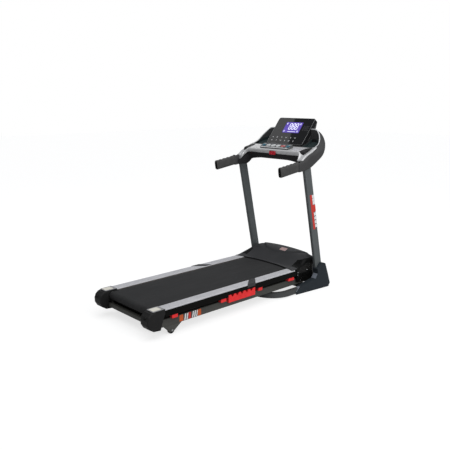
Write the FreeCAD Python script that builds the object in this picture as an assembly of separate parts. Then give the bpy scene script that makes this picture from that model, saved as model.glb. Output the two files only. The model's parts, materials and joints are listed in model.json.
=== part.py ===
import FreeCAD, Part
import math
import os

# Folding motorised treadmill.
# Millimetres, +Z up, +Y towards the console, +X to the runner's right.
# The origin is the centre of the footprint, on the floor.

V = FreeCAD.Vector
X_AXIS = V(1, 0, 0)
Y_AXIS = V(0, 1, 0)
Z_AXIS = V(0, 0, 1)

# ---- running deck -------------------------------------------------------
BELT_HALF = 225.0
BELT_TOP = 182.0
BELT_T = 2.0
ROLLER_R = 28.0
ROLLER_Z = BELT_TOP - BELT_T - ROLLER_R
REAR_ROLLER_Y = -781.0
FRONT_ROLLER_Y = 584.0
ROLLER_HALF = 235.0
AXLE_R = 8.5
BOARD_T = 18.0
BOARD_HALF = 302.0
DECK_REAR = -740.0
DECK_FRONT = 538.0
TUBE_X0 = 275.0
TUBE_X1 = 300.0
TUBE_Z0 = 62.0
TUBE_Z1 = 111.0
TUBE_WALL = 2.5
RAIL_X = 320.0
RAIL_BOTTOM = 134.0
STRIP_INNER = 243.0
STRIP_TOP = 188.0
BLOCK_Y0 = -186.0
BLOCK_Y1 = 79.0

# ---- fold pivot and lift strut ------------------------------------------
PIVOT_Y = 749.0
PIVOT_Z = 165.0
PIVOT_R = 6.0
FOLD_MAX = 72.0
STRUT_LOW = (659.0, 66.0)
STRUT_UP = (279.0, 92.0)
STRUT_R = 14.0
ROD_R = 6.0
PIN_R = 5.0

# ---- base ---------------------------------------------------------------
BASE_Z0 = 8.0
BASE_H = 38.0
BASE_W = 38.0
BASE_X = 332.0
BASE_REAR_Y = 247.0
BOW_R = 175.0
COVER_X0 = 331.0
COVER_X1 = 392.0
COVER_TIP_X = 356.0
WHEEL_R = 25.0
REAR_WHEEL_Y = -677.0
REAR_WHEEL_X = 291.0
TRANSPORT_R = 22.0
TRANSPORT_Y = 856.0
TRANSPORT_X = 290.0

# ---- uprights and console -----------------------------------------------
UPRIGHT_X = 346.0
UPRIGHT_W = 31.0
UPRIGHT_D = 75.0
UPRIGHT_LOW = (793.0, 46.0)
UPRIGHT_HIGH = (590.5, 988.0)
GRIP_X = 345.0
GRIP_TIP = (290.0, 972.5)
GRIP_ROOT = (500.0, 1003.0)
HOOP_HALF = 370.0
HOOP_BACK = 870.0
HOOP_CORNER = 140.0
HOOP_WALL = 46.0
DISPLAY_HALF = 192.0
DISPLAY_LOW = (712.0, 1140.0)
DISPLAY_HIGH = (876.5, 1344.0)
DISPLAY_T = 36.0
DISPLAY_BACK = 56.0
KEY_LIFT = 2.2

# The drawing stations run along Y from the middle of the deck; this moves
# them so that the origin lies under the centre of the whole treadmill.
ORIGIN_SHIFT = -9.75


def emit(name, shape):
    shape = shape.removeSplitter()
    shape.translate(V(0, ORIGIN_SHIFT, 0))
    shape.exportStep("parts/" + name + ".step")


def box(x0, x1, y0, y1, z0, z1):
    return Part.makeBox(x1 - x0, y1 - y0, z1 - z0, V(x0, y0, z0))


def cyl_x(x0, x1, y, z, r):
    return Part.makeCylinder(r, x1 - x0, V(x0, y, z), X_AXIS)


def cyl_y(y0, y1, x, z, r):
    return Part.makeCylinder(r, y1 - y0, V(x, y0, z), Y_AXIS)


def cyl_z(z0, z1, x, y, r):
    return Part.makeCylinder(r, z1 - z0, V(x, y, z0), Z_AXIS)


def prism(points, vector):
    wire = Part.makePolygon(points + [points[0]])
    return Part.Face(wire).extrude(vector)


def side_prism(profile, x0, x1):
    return prism([V(x0, y, z) for y, z in profile], V(x1 - x0, 0, 0))


def plan_prism(outline, z0, z1):
    return prism([V(x, y, z0) for x, y in outline], V(0, 0, z1 - z0))


def front_prism(section, y0, y1):
    return prism([V(x, y0, z) for x, z in section], V(0, y1 - y0, 0))


def fuse(shapes):
    first = shapes[0]
    if len(shapes) == 1:
        return first
    return first.fuse(shapes[1:])


def mirror(shape):
    return shape.mirror(V(0, 0, 0), X_AXIS)


def both(shape):
    return fuse([shape, mirror(shape)])


def round_edges(shape, radius, keep):
    edges = [e for e in shape.Edges if keep(e)]
    return shape.makeFillet(radius, edges)


def along_x(edge):
    box_ = edge.BoundBox
    return box_.YLength < 1e-3 and box_.ZLength < 1e-3


def along_z(edge):
    box_ = edge.BoundBox
    return box_.XLength < 1e-3 and box_.YLength < 1e-3


def along_y(edge):
    box_ = edge.BoundBox
    return box_.XLength < 1e-3 and box_.ZLength < 1e-3


def rect_tube(x0, x1, y0, y1, z0, z1, wall, axis):
    # A hollow rectangular tube, open at both ends along the given axis.
    outer = box(x0, x1, y0, y1, z0, z1)
    if axis == "x":
        inner = box(x0 - 1, x1 + 1, y0 + wall, y1 - wall, z0 + wall, z1 - wall)
    else:
        inner = box(x0 + wall, x1 - wall, y0 - 1, y1 + 1, z0 + wall, z1 - wall)
    return outer.cut(inner)


def smooth_curve(points):
    curve = Part.BSplineCurve()
    curve.interpolate(points)
    return curve.toShape()


def lean_matrix(low, high):
    # Turns the Z axis onto the line from low to high in the side plane.
    angle = math.degrees(math.atan2(low[0] - high[0], high[1] - low[1]))
    return FreeCAD.Rotation(X_AXIS, angle)


def placed(shape, origin, rotation):
    moved = shape.copy()
    moved.Placement = FreeCAD.Placement(origin, rotation)
    return moved


# ======================= running deck (body "deck") ======================

def make_deck_frame():
    pieces = []
    tube = rect_tube(TUBE_X0, TUBE_X1, DECK_REAR - 57, 788, TUBE_Z0, TUBE_Z1, TUBE_WALL, "y")
    pieces.append(both(tube))
    cross = [(-811, -781, 72, 97), (-330, -290, 76, 106), (212, 252, 76, 106)]
    for y0, y1, z0, z1 in cross:
        pieces.append(rect_tube(-TUBE_X0, TUBE_X0, y0, y1, z0, z1, 2.0, "x"))
    end = box(TUBE_X0, TUBE_X1, -811, DECK_REAR - 57, 72, 97)
    pieces.append(both(end))
    # Steel bed that carries the motor and the controller.
    pieces.append(box(-TUBE_X0, TUBE_X0, 636, 796, 102, 107))
    # Cheeks that hold the two roller axles.
    for y in (REAR_ROLLER_Y, FRONT_ROLLER_Y):
        cheek = box(277, 283, y - 24, y + 24, TUBE_Z1, ROLLER_Z + 20)
        cheek = cheek.cut(cyl_x(276, 284, y, ROLLER_Z, AXLE_R + 0.05))
        pieces.append(both(cheek))
    # Pivot ears on the outside of the tubes.
    ear = side_prism([(700, TUBE_Z0), (788, TUBE_Z0), (788, 150), (770, 190), (728, 190), (700, 130)],
                     300, 311)
    ear = ear.cut(cyl_x(299, 312, PIVOT_Y, PIVOT_Z, PIVOT_R + 0.05))
    pieces.append(both(ear))
    # Lugs of the lift strut, with the long hole that lets its pin float.
    sy, sz = STRUT_UP
    lug = side_prism([(252, 80), (266, 52), (294, 52), (296, 100), (286, 108), (252, 106)], 13, 18)
    slot = fuse([
        cyl_x(12, 19, sy, sz, PIN_R + 2.8),
        cyl_x(12, 19, sy + SLOT_DY, sz + SLOT_DZ, PIN_R + 2.8),
        slot_bridge(sy, sz, sy + SLOT_DY, sz + SLOT_DZ, PIN_R + 2.8, 12, 19),
    ])
    lug = lug.cut(slot)
    pieces.append(both(lug))
    pieces.append(rear_wheel_forks())
    return fuse(pieces)


def slot_bridge(y0, z0, y1, z1, r, x0, x1):
    length = math.hypot(y1 - y0, z1 - z0)
    ny = -(z1 - z0) / length * r
    nz = (y1 - y0) / length * r
    outline = [(y0 + ny, z0 + nz), (y1 + ny, z1 + nz), (y1 - ny, z1 - nz), (y0 - ny, z0 - nz)]
    return side_prism(outline, x0, x1)


def make_running_board():
    top = BELT_TOP - BELT_T
    board = box(-BOARD_HALF, BOARD_HALF, DECK_REAR + 4, DECK_FRONT, top - BOARD_T, top)
    return round_edges(board, 6, along_x)


def belt_loop(y0, z0, r0, y1, z1, r1, x0, x1, t):
    # Closed flat belt round two pulleys with parallel axes along X.
    def hull(extra):
        a0 = r0 + extra
        a1 = r1 + extra
        dist = math.hypot(y1 - y0, z1 - z0)
        base = math.atan2(z1 - z0, y1 - y0)
        off = math.acos((a0 - a1) / dist)
        points = []
        for sign in (1, -1):
            a = base + sign * off
            points.append((y0 + a0 * math.cos(a), z0 + a0 * math.sin(a)))
            points.append((y1 + a1 * math.cos(a), z1 + a1 * math.sin(a)))
        quad = side_prism([points[0], points[1], points[3], points[2]], x0, x1)
        return fuse([quad, cyl_x(x0, x1, y0, z0, a0), cyl_x(x0, x1, y1, z1, a1)])
    return hull(t).cut(hull(0.0))


def make_running_belt():
    return belt_loop(REAR_ROLLER_Y, ROLLER_Z, ROLLER_R, FRONT_ROLLER_Y, ROLLER_Z, ROLLER_R,
                     -BELT_HALF, BELT_HALF, BELT_T)


def make_side_rail():
    top = BELT_TOP - BELT_T
    section = [(276, RAIL_BOTTOM), (316, RAIL_BOTTOM), (RAIL_X, RAIL_BOTTOM + 4), (RAIL_X, top),
               (BOARD_HALF, top), (BOARD_HALF, top - BOARD_T), (276, top - BOARD_T)]
    rail = front_prism(section, DECK_REAR, DECK_FRONT)
    hollow = box(279, 317, DECK_REAR - 1, DECK_FRONT + 1, RAIL_BOTTOM + 3, top - BOARD_T - 3)
    window = box(299, RAIL_X + 1, BLOCK_Y0 - 4, BLOCK_Y1 + 4, RAIL_BOTTOM - 1, 152)
    return rail.cut(hollow).cut(window)


def make_foot_strip():
    section = [(STRIP_INNER, 182.5), (STRIP_INNER + 3, STRIP_TOP), (RAIL_X - 4, STRIP_TOP),
               (RAIL_X, STRIP_TOP - 3), (RAIL_X, 180), (STRIP_INNER + 6, 180)]
    strip = front_prism(section, DECK_REAR, 520)
    for i in range(6):
        x = STRIP_INNER + 14 + i * 11
        strip = strip.cut(box(x, x + 2, DECK_REAR - 1, 521, STRIP_TOP - 0.8, STRIP_TOP + 1))
    return strip


def make_strip_joiners():
    slanted = [(RAIL_X + 1, -2), (RAIL_X + 1, 78), (STRIP_INNER + 2, 149), (STRIP_INNER + 2, 84)]
    joiner = plan_prism(slanted, STRIP_TOP, STRIP_TOP + 1.4)
    skirt = box(RAIL_X, RAIL_X + 1.2, -2, 78, 164, STRIP_TOP + 1.4)
    return both(fuse([joiner, skirt]))


CAP_PROFILE = [(-742, 190), (-818, 190), (-850, 182), (-871, 164), (-881, 138), (-879, 106),
               (-862, 78), (-832, 59), (-781, 54), (-759, 122), (-742, 158)]


def make_end_cap():
    body = side_prism(CAP_PROFILE, 241, 322)
    body = round_edges(body, 6, lambda e: not along_x(e) and e.CenterOfMass.y < -790)
    hollow = side_prism([(-730, 186), (-817, 186), (-847, 178), (-867, 161), (-876, 137), (-874, 108),
                         (-858, 82), (-830, 63), (-730, 58)], 245, 318)
    body = body.cut(hollow)
    body = body.cut(cyl_x(240, 246, REAR_ROLLER_Y, ROLLER_Z, 14))
    body = body.cut(box(240, 246, -812, -740, 60, 112))
    body = body.cut(cyl_y(-885, -860, 288, ROLLER_Z, 8))
    pad = box(256, 308, -820, -750, 190, 190.8)
    return fuse([body, pad])


def make_tension_bolts():
    bolt = cyl_y(-880, REAR_ROLLER_Y - AXLE_R, 288, ROLLER_Z, 4)
    head = cyl_y(-880, -868, 288, ROLLER_Z, 6.5)
    socket = cyl_y(-881, -873, 288, ROLLER_Z, 3.2)
    return both(fuse([bolt, head]).cut(socket))


def make_cushions():
    pieces = []
    for y0, y1 in ((-684, -635), (-257, -205), (116, 159), (450, 515)):
        pad = box(285, 317, y0, y1, TUBE_Z1, RAIL_BOTTOM)
        pad = round_edges(pad, 4, along_z)
        pieces.append(both(pad))
    return fuse(pieces)


def make_cushion_blocks():
    body = box(300, 318, BLOCK_Y0, BLOCK_Y1, 94, 150)
    notches = 5
    pitch = (BLOCK_Y1 - BLOCK_Y0 - 30) / notches
    for i in range(notches):
        y = BLOCK_Y0 + 15 + (i + 0.5) * pitch
        body = body.cut(side_prism([(y - 15, 151), (y + 15, 151), (y + 6, 132), (y - 6, 132)], 299, 319))
    return both(body)


def make_deck_axles():
    # Fixed axles of both rollers and of the two rear wheels.
    rear = cyl_x(-292, 292, REAR_ROLLER_Y, ROLLER_Z, AXLE_R)
    front = cyl_x(-290, 290, FRONT_ROLLER_Y, ROLLER_Z, AXLE_R)
    pin = cyl_x(275.5, 306, REAR_WHEEL_Y, WHEEL_R, 4.0)
    head = cyl_x(304, 308, REAR_WHEEL_Y, WHEEL_R, 7.0)
    nut = cyl_x(273, 277.5, REAR_WHEEL_Y, WHEEL_R, 7.0)
    return fuse([rear, front, both(fuse([pin, head, nut]))])


def roller_tube(y):
    tube = cyl_x(-ROLLER_HALF, ROLLER_HALF, y, ROLLER_Z, ROLLER_R - 0.3)
    bore = cyl_x(-ROLLER_HALF - 1, ROLLER_HALF + 1, y, ROLLER_Z, ROLLER_R - 3.3)
    shell = tube.cut(bore)
    plugs = []
    for x0 in (-ROLLER_HALF, ROLLER_HALF - 18):
        plug = cyl_x(x0, x0 + 18, y, ROLLER_Z, ROLLER_R - 2)
        plugs.append(plug.cut(cyl_x(x0 - 1, x0 + 19, y, ROLLER_Z, AXLE_R + 0.05)))
    return fuse([shell] + plugs)


PULLEY_X0 = -262.0
PULLEY_X1 = -238.0
PULLEY_R = 38.0
MOTOR_Y = 692.0
MOTOR_Z = 158.0
MOTOR_PULLEY_R = 20.0
MOTOR_SHAFT_R = 8.0


def make_front_roller():
    pulley = cyl_x(PULLEY_X0, PULLEY_X1, FRONT_ROLLER_Y, ROLLER_Z, PULLEY_R - 0.3)
    pulley = pulley.fuse(cyl_x(PULLEY_X1 - 1, -ROLLER_HALF + 1, FRONT_ROLLER_Y, ROLLER_Z, 20))
    pulley = pulley.cut(cyl_x(PULLEY_X0 - 1, -ROLLER_HALF + 2, FRONT_ROLLER_Y, ROLLER_Z, AXLE_R + 0.05))
    return fuse([roller_tube(FRONT_ROLLER_Y), pulley])


def make_motor_rotor():
    shaft = cyl_x(PULLEY_X0 - 4, 122, MOTOR_Y, MOTOR_Z, MOTOR_SHAFT_R)
    pulley = cyl_x(PULLEY_X0, PULLEY_X1, MOTOR_Y, MOTOR_Z, MOTOR_PULLEY_R - 0.3)
    flywheel = cyl_x(-228, -206, MOTOR_Y, MOTOR_Z, 44)
    groove = cyl_x(-229, -213, MOTOR_Y, MOTOR_Z, 36).cut(cyl_x(-229, -213, MOTOR_Y, MOTOR_Z, 16))
    flywheel = flywheel.cut(groove)
    return fuse([shaft, pulley, flywheel])


def make_motor_housing():
    can = cyl_x(-150, 110, MOTOR_Y, MOTOR_Z, 47)
    can = can.cut(cyl_x(-144, 104, MOTOR_Y, MOTOR_Z, 42))
    bore = cyl_x(-151, 111, MOTOR_Y, MOTOR_Z, MOTOR_SHAFT_R + 0.05)
    caps = [cyl_x(-150, -138, MOTOR_Y, MOTOR_Z, 46).cut(bore), cyl_x(98, 110, MOTOR_Y, MOTOR_Z, 46).cut(bore)]
    foot = box(-110, 70, MOTOR_Y - 34, MOTOR_Y + 34, 107, 118)
    foot = foot.cut(cyl_x(-145, 105, MOTOR_Y, MOTOR_Z, 46.9))
    body = can.cut(bore)
    return fuse([body] + caps + [foot])


def make_drive_belt():
    return belt_loop(FRONT_ROLLER_Y, ROLLER_Z, PULLEY_R, MOTOR_Y, MOTOR_Z, MOTOR_PULLEY_R,
                     PULLEY_X0 + 3, PULLEY_X1 - 3, 3.0)


def make_motor_controller():
    board = box(130, 262, 642, 784, 107, 112)
    sink = box(136, 176, 650, 776, 112, 118)
    fins = [box(136, 176, 652 + 12 * i, 656 + 12 * i, 118, 146) for i in range(11)]
    coil = cyl_z(112, 142, 215, 690, 18)
    caps = [cyl_z(112, 150, 238, 742 + 20 * i, 9) for i in range(2)]
    return fuse([board, sink, coil] + fins + caps)


# The motor hood: one domed shell whose rear edge sweeps over the belt.
HOOD_X = 318.0
HOOD_FRONT = 829.0


def hood_height(x, y):
    # Height of the hood's outer surface above the floor.
    u = abs(x) / HOOD_X
    rear = 535.0 - 48.0 * u ** 2.2
    crest = 281.5 - 22.0 * u ** 2 - 32.0 * u ** 10
    t = max(0.0, min(1.0, (y - rear) / (738.0 - rear)))
    rise = math.sin(t * math.pi / 2) ** (1.25 + 0.55 * u)
    h = 189.0 + (crest - 189.0) * rise
    if y > 738.0:
        s = (y - 738.0) / (HOOD_FRONT - 738.0)
        h = crest - (crest - 205.0) * s ** 2.2
    return h


def hood_solid(inset, x_half, y0, y1, floor):
    rows = []
    nx = 25
    ny = 19
    for j in range(ny):
        y = y0 + (y1 - y0) * j / (ny - 1)
        row = []
        for i in range(nx):
            x = -x_half + 2 * x_half * i / (nx - 1)
            row.append(V(x, y, hood_height(x, y) - inset))
        rows.append(row)
    surface = Part.BSplineSurface()
    surface.interpolate(rows)
    face = surface.toShape()
    block = face.extrude(V(0, 0, -400))
    return block.common(box(-400, 400, 400, 900, floor, 400))


def rear_arc_cutter():
    # Everything behind the swept rear edge of the hood.
    points = [V(-330, 486, 0)]
    n = 24
    for i in range(n + 1):
        x = -HOOD_X + 2 * HOOD_X * i / n
        u = abs(x) / HOOD_X
        points.append(V(x, 535.0 - 48.0 * u ** 2.2, 0))
    points.append(V(330, 486, 0))
    points.append(V(330, 380, 0))
    points.append(V(-330, 380, 0))
    return prism(points, V(0, 0, 500))


def make_motor_hood():
    outer = hood_solid(0.0, HOOD_X, 480.0, HOOD_FRONT, 110.0)
    outer = outer.cut(rear_arc_cutter())
    inner = hood_solid(4.0, HOOD_X - 4.0, 440.0, HOOD_FRONT - 4.0, 100.0)
    hood = outer.cut(inner)
    # The wings behind the side panels only lie on the foot strips.
    for s in (1, -1):
        x0 = min(s * 226, s * 330)
        x1 = max(s * 226, s * 330)
        hood = hood.cut(box(x0, x1, 380, 545, 100, STRIP_TOP + 0.3))
    hood = hood.cut(box(-226.5, 226.5, 380, 616, 100, BELT_TOP + 1.0))
    # The side walls stop where the separate side panels begin.
    hood = hood.cut(both(box(312, 330, 545, 900, 90, 150)))
    hood = hood.cut(box(-400, 400, 380, 900, 90, 111))
    hood = hood.cut(both(cyl_x(312, 330, PIVOT_Y, PIVOT_Z, 18)))
    hood = hood.cut(front_prism([(-262, 100), (262, 100), (262, 150), (-262, 150)], 822, 840))
    return hood


HOOD_SCREWS = ((556, 140), (589, 92), (786, 90), (810, 140))


def make_hood_side_panel():
    profile = [(545, 88), (560, 80), (800, 80), (822, 92), (822, 149), (545, 149)]
    panel = side_prism(profile, 314, 318)
    for i in range(9):
        y = 600 + 16 * i
        panel = panel.cut(side_prism([(y, 100), (y + 7, 100), (y + 21, 138), (y + 14, 138)], 313, 319))
    panel = panel.cut(cyl_x(313, 319, PIVOT_Y, PIVOT_Z, 18))
    for y, z in HOOD_SCREWS:
        panel = panel.cut(cyl_x(313, 319, y, z, 3.6))
    flange = box(301, 314, 545, 549, 112, 149)
    return fuse([panel, flange])


def make_belly_pan():
    pan = box(-274, 274, 640, 825, 96, 99)
    lip = box(-262, 262, 822, 826, 96, 149)
    pocket = box(150, 262, 821, 827, 104, 146)
    return fuse([pan, lip.cut(pocket)])


def make_hood_screws():
    pieces = []
    for y, z in HOOD_SCREWS:
        screw = cyl_x(313.9, 319.6, y, z, 3.6)
        cross = box(318.6, 320, y - 2.4, y + 2.4, z - 0.5, z + 0.5)
        pieces.append(both(screw.cut(cross)))
    return fuse(pieces)


def make_power_inlet():
    plate = box(152, 260, 821, 829, 106, 144)
    plate = round_edges(plate, 3, along_y)
    socket = box(158, 186, 823, 830, 114, 136)
    plate = plate.cut(socket)
    pins = [cyl_y(821, 828, 165 + 7 * i, 122 + 6 * (i % 2), 1.4) for i in range(3)]
    plate = plate.cut(box(197.5, 222.5, 820, 830, 116.5, 133.5))
    plate = plate.cut(cyl_y(820, 830, 240, 125, 6.5))
    back = box(152, 260, 806, 821, 110, 140)
    back = back.cut(box(194, 226, 805, 822, 112, 138)).cut(cyl_y(805, 822, 240, 125, 9))
    return fuse([plate, back] + pins)


def rear_wheel_forks():
    pieces = []
    for x0 in (277.5, 301.0):
        plate = side_prism([(-739, TUBE_Z0), (-599, TUBE_Z0), (-664, 14), (-690, 14)], x0, x0 + 3)
        pieces.append(plate.cut(cyl_x(x0 - 1, x0 + 4, REAR_WHEEL_Y, WHEEL_R, 4.0)))
    pieces.append(box(277.5, 304, -739, -599, TUBE_Z0 - 3, TUBE_Z0))
    return both(fuse(pieces))


def wheel(x0, x1, y, z, r, bore):
    body = cyl_x(x0, x1, y, z, r)
    body = round_edges(body, 3, lambda e: e.Length > 6.2 * (r - 0.1))
    body = body.cut(cyl_x(x0 - 1, x1 + 1, y, z, bore))
    for side, base in ((1, x1 - 4), (-1, x0 - 1)):
        groove = cyl_x(base, base + 5, y, z, r * 0.66).cut(cyl_x(base - 1, base + 6, y, z, r * 0.36))
        body = body.cut(groove)
    return body


# ======================= base (body "base") ==============================

def bow_region(grow, z0, z1):
    # Plan of the rear bow, grown by the given amount past its centre line.
    w = BASE_X + grow
    r = BOW_R + grow
    rear = BASE_REAR_Y - grow
    k = math.sqrt(0.5) * r
    cy = rear + r
    cx = w - r
    edges = [Part.makeLine(V(w, 540, z0), V(w, cy, z0)),
             Part.Arc(V(w, cy, z0), V(cx + k, cy - k, z0), V(cx, rear, z0)).toShape(),
             Part.makeLine(V(cx, rear, z0), V(-cx, rear, z0)),
             Part.Arc(V(-cx, rear, z0), V(-cx - k, cy - k, z0), V(-w, cy, z0)).toShape(),
             Part.makeLine(V(-w, cy, z0), V(-w, 540, z0)),
             Part.makeLine(V(-w, 540, z0), V(w, 540, z0))]
    return Part.Face(Part.Wire(edges)).extrude(V(0, 0, z1 - z0))


def make_base_frame():
    h = BASE_W / 2
    z1 = BASE_Z0 + BASE_H
    bow = bow_region(h, BASE_Z0, z1).cut(bow_region(-h, BASE_Z0 - 1, z1 + 1))
    core = bow_region(h - 2, BASE_Z0 + 2, z1 - 2).cut(bow_region(2 - h, BASE_Z0, z1))
    pieces = [bow.cut(core)]
    side = rect_tube(BASE_X - BASE_W / 2, BASE_X + BASE_W / 2, 540, 850, BASE_Z0, BASE_Z0 + BASE_H, 2.0, "y")
    pieces.append(both(side))
    inner = BASE_X - BASE_W / 2
    pieces.append(rect_tube(-inner, inner, 800, 830, BASE_Z0, BASE_Z0 + BASE_H, 2.0, "x"))
    pieces.append(rect_tube(-inner, inner, 640, 678, BASE_Z0, BASE_Z0 + BASE_H, 2.0, "x"))
    # Lugs for the lower end of the lift strut.
    ly, lz = STRUT_LOW
    lug = side_prism([(ly - 16, 46), (ly + 16, 46), (ly + 11, lz + 10), (ly - 11, lz + 10)], 13, 18)
    pieces.append(both(lug.cut(cyl_x(12, 19, ly, lz, PIN_R))))
    # Forks for the transport wheels.
    for x0 in (TRANSPORT_X - 13, TRANSPORT_X + 10):
        fork = box(x0, x0 + 3, 830, 866, 14, 38)
        pieces.append(both(fork.cut(cyl_x(x0 - 1, x0 + 4, TRANSPORT_Y, 25, 4.0))))
    return fuse(pieces)


def upright_axis_y(z):
    t = (z - UPRIGHT_LOW[1]) / (UPRIGHT_HIGH[1] - UPRIGHT_LOW[1])
    return UPRIGHT_LOW[0] + t * (UPRIGHT_HIGH[0] - UPRIGHT_LOW[0])


def make_pivot_brackets():
    inner = UPRIGHT_X - UPRIGHT_W / 2
    plate = side_prism([(728, 46), (850, 46), (842, 110), (806, 205), (722, 205), (719, 165), (730, 120)],
                       inner - 7, inner)
    plate = plate.cut(cyl_x(inner - 8, inner + 1, PIVOT_Y, PIVOT_Z, PIVOT_R))
    shoe = side_prism([(744, 46), (850, 46), (842, 110), (825, 132), (748, 132)],
                      inner + UPRIGHT_W, inner + UPRIGHT_W + 4)
    for z in (74, 112):
        y = upright_axis_y(z)
        plate = plate.cut(cyl_x(inner - 8, inner + 1, y, z, 5.0))
        shoe = shoe.cut(cyl_x(inner + UPRIGHT_W - 1, inner + UPRIGHT_W + 5, y, z, 5.0))
    sill = box(BASE_X + BASE_W / 2, inner + UPRIGHT_W + 4, 725, 850, 40, 46)
    return both(fuse([plate, shoe, sill]))


def upright_bolts():
    inner = UPRIGHT_X - UPRIGHT_W / 2
    pieces = []
    for z in (74, 112):
        y = upright_axis_y(z)
        shank = cyl_x(inner - 7, inner + UPRIGHT_W + 4, y, z, 5.0)
        head = cyl_x(inner + UPRIGHT_W + 4, inner + UPRIGHT_W + 7, y, z, 8.0)
        pieces.append(both(fuse([shank, head])))
    return fuse(pieces)


def make_base_pins():
    # Upright bolts, deck pivots, lower strut pin and transport axles.
    inner = UPRIGHT_X - UPRIGHT_W / 2
    pin = cyl_x(296, inner, PIVOT_Y, PIVOT_Z, PIVOT_R)
    nut = cyl_x(290, 299, PIVOT_Y, PIVOT_Z, 11)
    washer = cyl_x(311.4, inner - 7, PIVOT_Y, PIVOT_Z, 13)
    pieces = [both(fuse([pin, nut, washer]))]
    ly, lz = STRUT_LOW
    pieces.append(cyl_x(-22, 22, ly, lz, PIN_R))
    pieces.append(both(cyl_x(18, 22, ly, lz, 8)))
    return fuse(pieces + [upright_bolts(), transport_axles()])


def make_upright():
    rotation = lean_matrix(UPRIGHT_LOW, UPRIGHT_HIGH)
    length = math.hypot(UPRIGHT_HIGH[0] - UPRIGHT_LOW[0], UPRIGHT_HIGH[1] - UPRIGHT_LOW[1]) + 60
    w = UPRIGHT_W / 2
    d = UPRIGHT_D / 2
    outer = round_edges(box(-w, w, -d, d, -30, length), 10, along_z)
    inner = round_edges(box(-w + 2, w - 2, -d + 2, d - 2, -31, length + 1), 8, along_z)
    post = placed(outer.cut(inner), V(UPRIGHT_X, UPRIGHT_LOW[0], UPRIGHT_LOW[1]), rotation)
    post = post.common(box(300, 400, 400, 900, 46, UPRIGHT_HIGH[1]))
    for z in (74, 112):
        post = post.cut(cyl_x(300, 400, upright_axis_y(z), z, 5.0))
    return post


FOOT_PROFILE = [(498, 1), (498, 16), (510, 34), (546, 62), (708, 92), (733, 128), (722, 172),
                (766, 214), (811, 204), (876, 28), (858, 1)]
FOOT_CAVITY = [(502, -1), (502, 15), (513, 31), (548, 58), (711, 88), (738, 127), (726, 171),
               (768, 209), (808, 200), (872, 27), (855, -1)]


def cover_plan(inset):
    # The cover widens from its low rear tip to the front.
    g = inset
    outline = [(COVER_X0 - 1, 480), (COVER_TIP_X - g, 480), (COVER_X1 - g, 842), (COVER_X1 - g, 890),
               (COVER_X0 - 1, 890)]
    return plan_prism(outline, -5, 260)


def make_foot_cover():
    cover = side_prism(FOOT_PROFILE, COVER_X0, COVER_X1 + 4).common(cover_plan(0))
    cavity = side_prism(FOOT_CAVITY, COVER_X0 - 1, COVER_X1).common(cover_plan(3.5))
    cover = cover.cut(cavity)
    # Where the bow of the base runs in, and where the upright comes out.
    cover = cover.cut(box(300, 352.4, 430, 560, -1, 47))
    w = UPRIGHT_W / 2 + 0.2
    d = UPRIGHT_D / 2 + 0.2
    post = placed(box(-w - 20, w, -d, d, 40, 260), V(UPRIGHT_X, UPRIGHT_LOW[0], UPRIGHT_LOW[1]),
                  lean_matrix(UPRIGHT_LOW, UPRIGHT_HIGH))
    cover = cover.cut(post)
    return cover


def make_base_feet():
    pieces = []
    for x, y in ((150, 249), (BASE_X, 560), (BASE_X, 800)):
        pieces.append(both(cyl_z(0, BASE_Z0, x, y, 16)))
    return fuse(pieces)


def transport_axles():
    axle = cyl_x(TRANSPORT_X - 15, TRANSPORT_X + 15, TRANSPORT_Y, 25, 4.0)
    heads = [cyl_x(TRANSPORT_X - 17, TRANSPORT_X - 13, TRANSPORT_Y, 25, 6.5),
             cyl_x(TRANSPORT_X + 13, TRANSPORT_X + 17, TRANSPORT_Y, 25, 6.5)]
    return both(fuse([axle] + heads))


# ---------------------------- lift strut ---------------------------------

def strut_direction():
    dy = STRUT_UP[0] - STRUT_LOW[0]
    dz = STRUT_UP[1] - STRUT_LOW[1]
    length = math.hypot(dy, dz)
    return V(0, dy / length, dz / length), length


def strut_point(s):
    direction, _ = strut_direction()
    return V(0, STRUT_LOW[0], STRUT_LOW[1]) + direction * s


def make_strut_tube():
    direction, length = strut_direction()
    eye = cyl_x(-11, 11, STRUT_LOW[0], STRUT_LOW[1], 10)
    neck = Part.makeCylinder(8, 28, strut_point(0), direction)
    barrel = Part.makeCylinder(STRUT_R, length - 60, strut_point(24), direction)
    bore = Part.makeCylinder(ROD_R + 0.05, length - 50, strut_point(34), direction)
    body = fuse([eye, neck, barrel]).cut(bore)
    return body.cut(cyl_x(-12, 12, STRUT_LOW[0], STRUT_LOW[1], PIN_R + 0.05))


def make_strut_rod():
    direction, length = strut_direction()
    rod = Part.makeCylinder(ROD_R, length - 60, strut_point(40), direction)
    collar = Part.makeCylinder(8, 22, strut_point(length - 30), direction)
    eye = cyl_x(-11, 11, STRUT_UP[0], STRUT_UP[1], 10)
    pin = cyl_x(-22, 22, STRUT_UP[0], STRUT_UP[1], PIN_R)
    heads = both(cyl_x(19, 22, STRUT_UP[0], STRUT_UP[1], 8))
    return fuse([rod, collar, eye, pin, heads])


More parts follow.
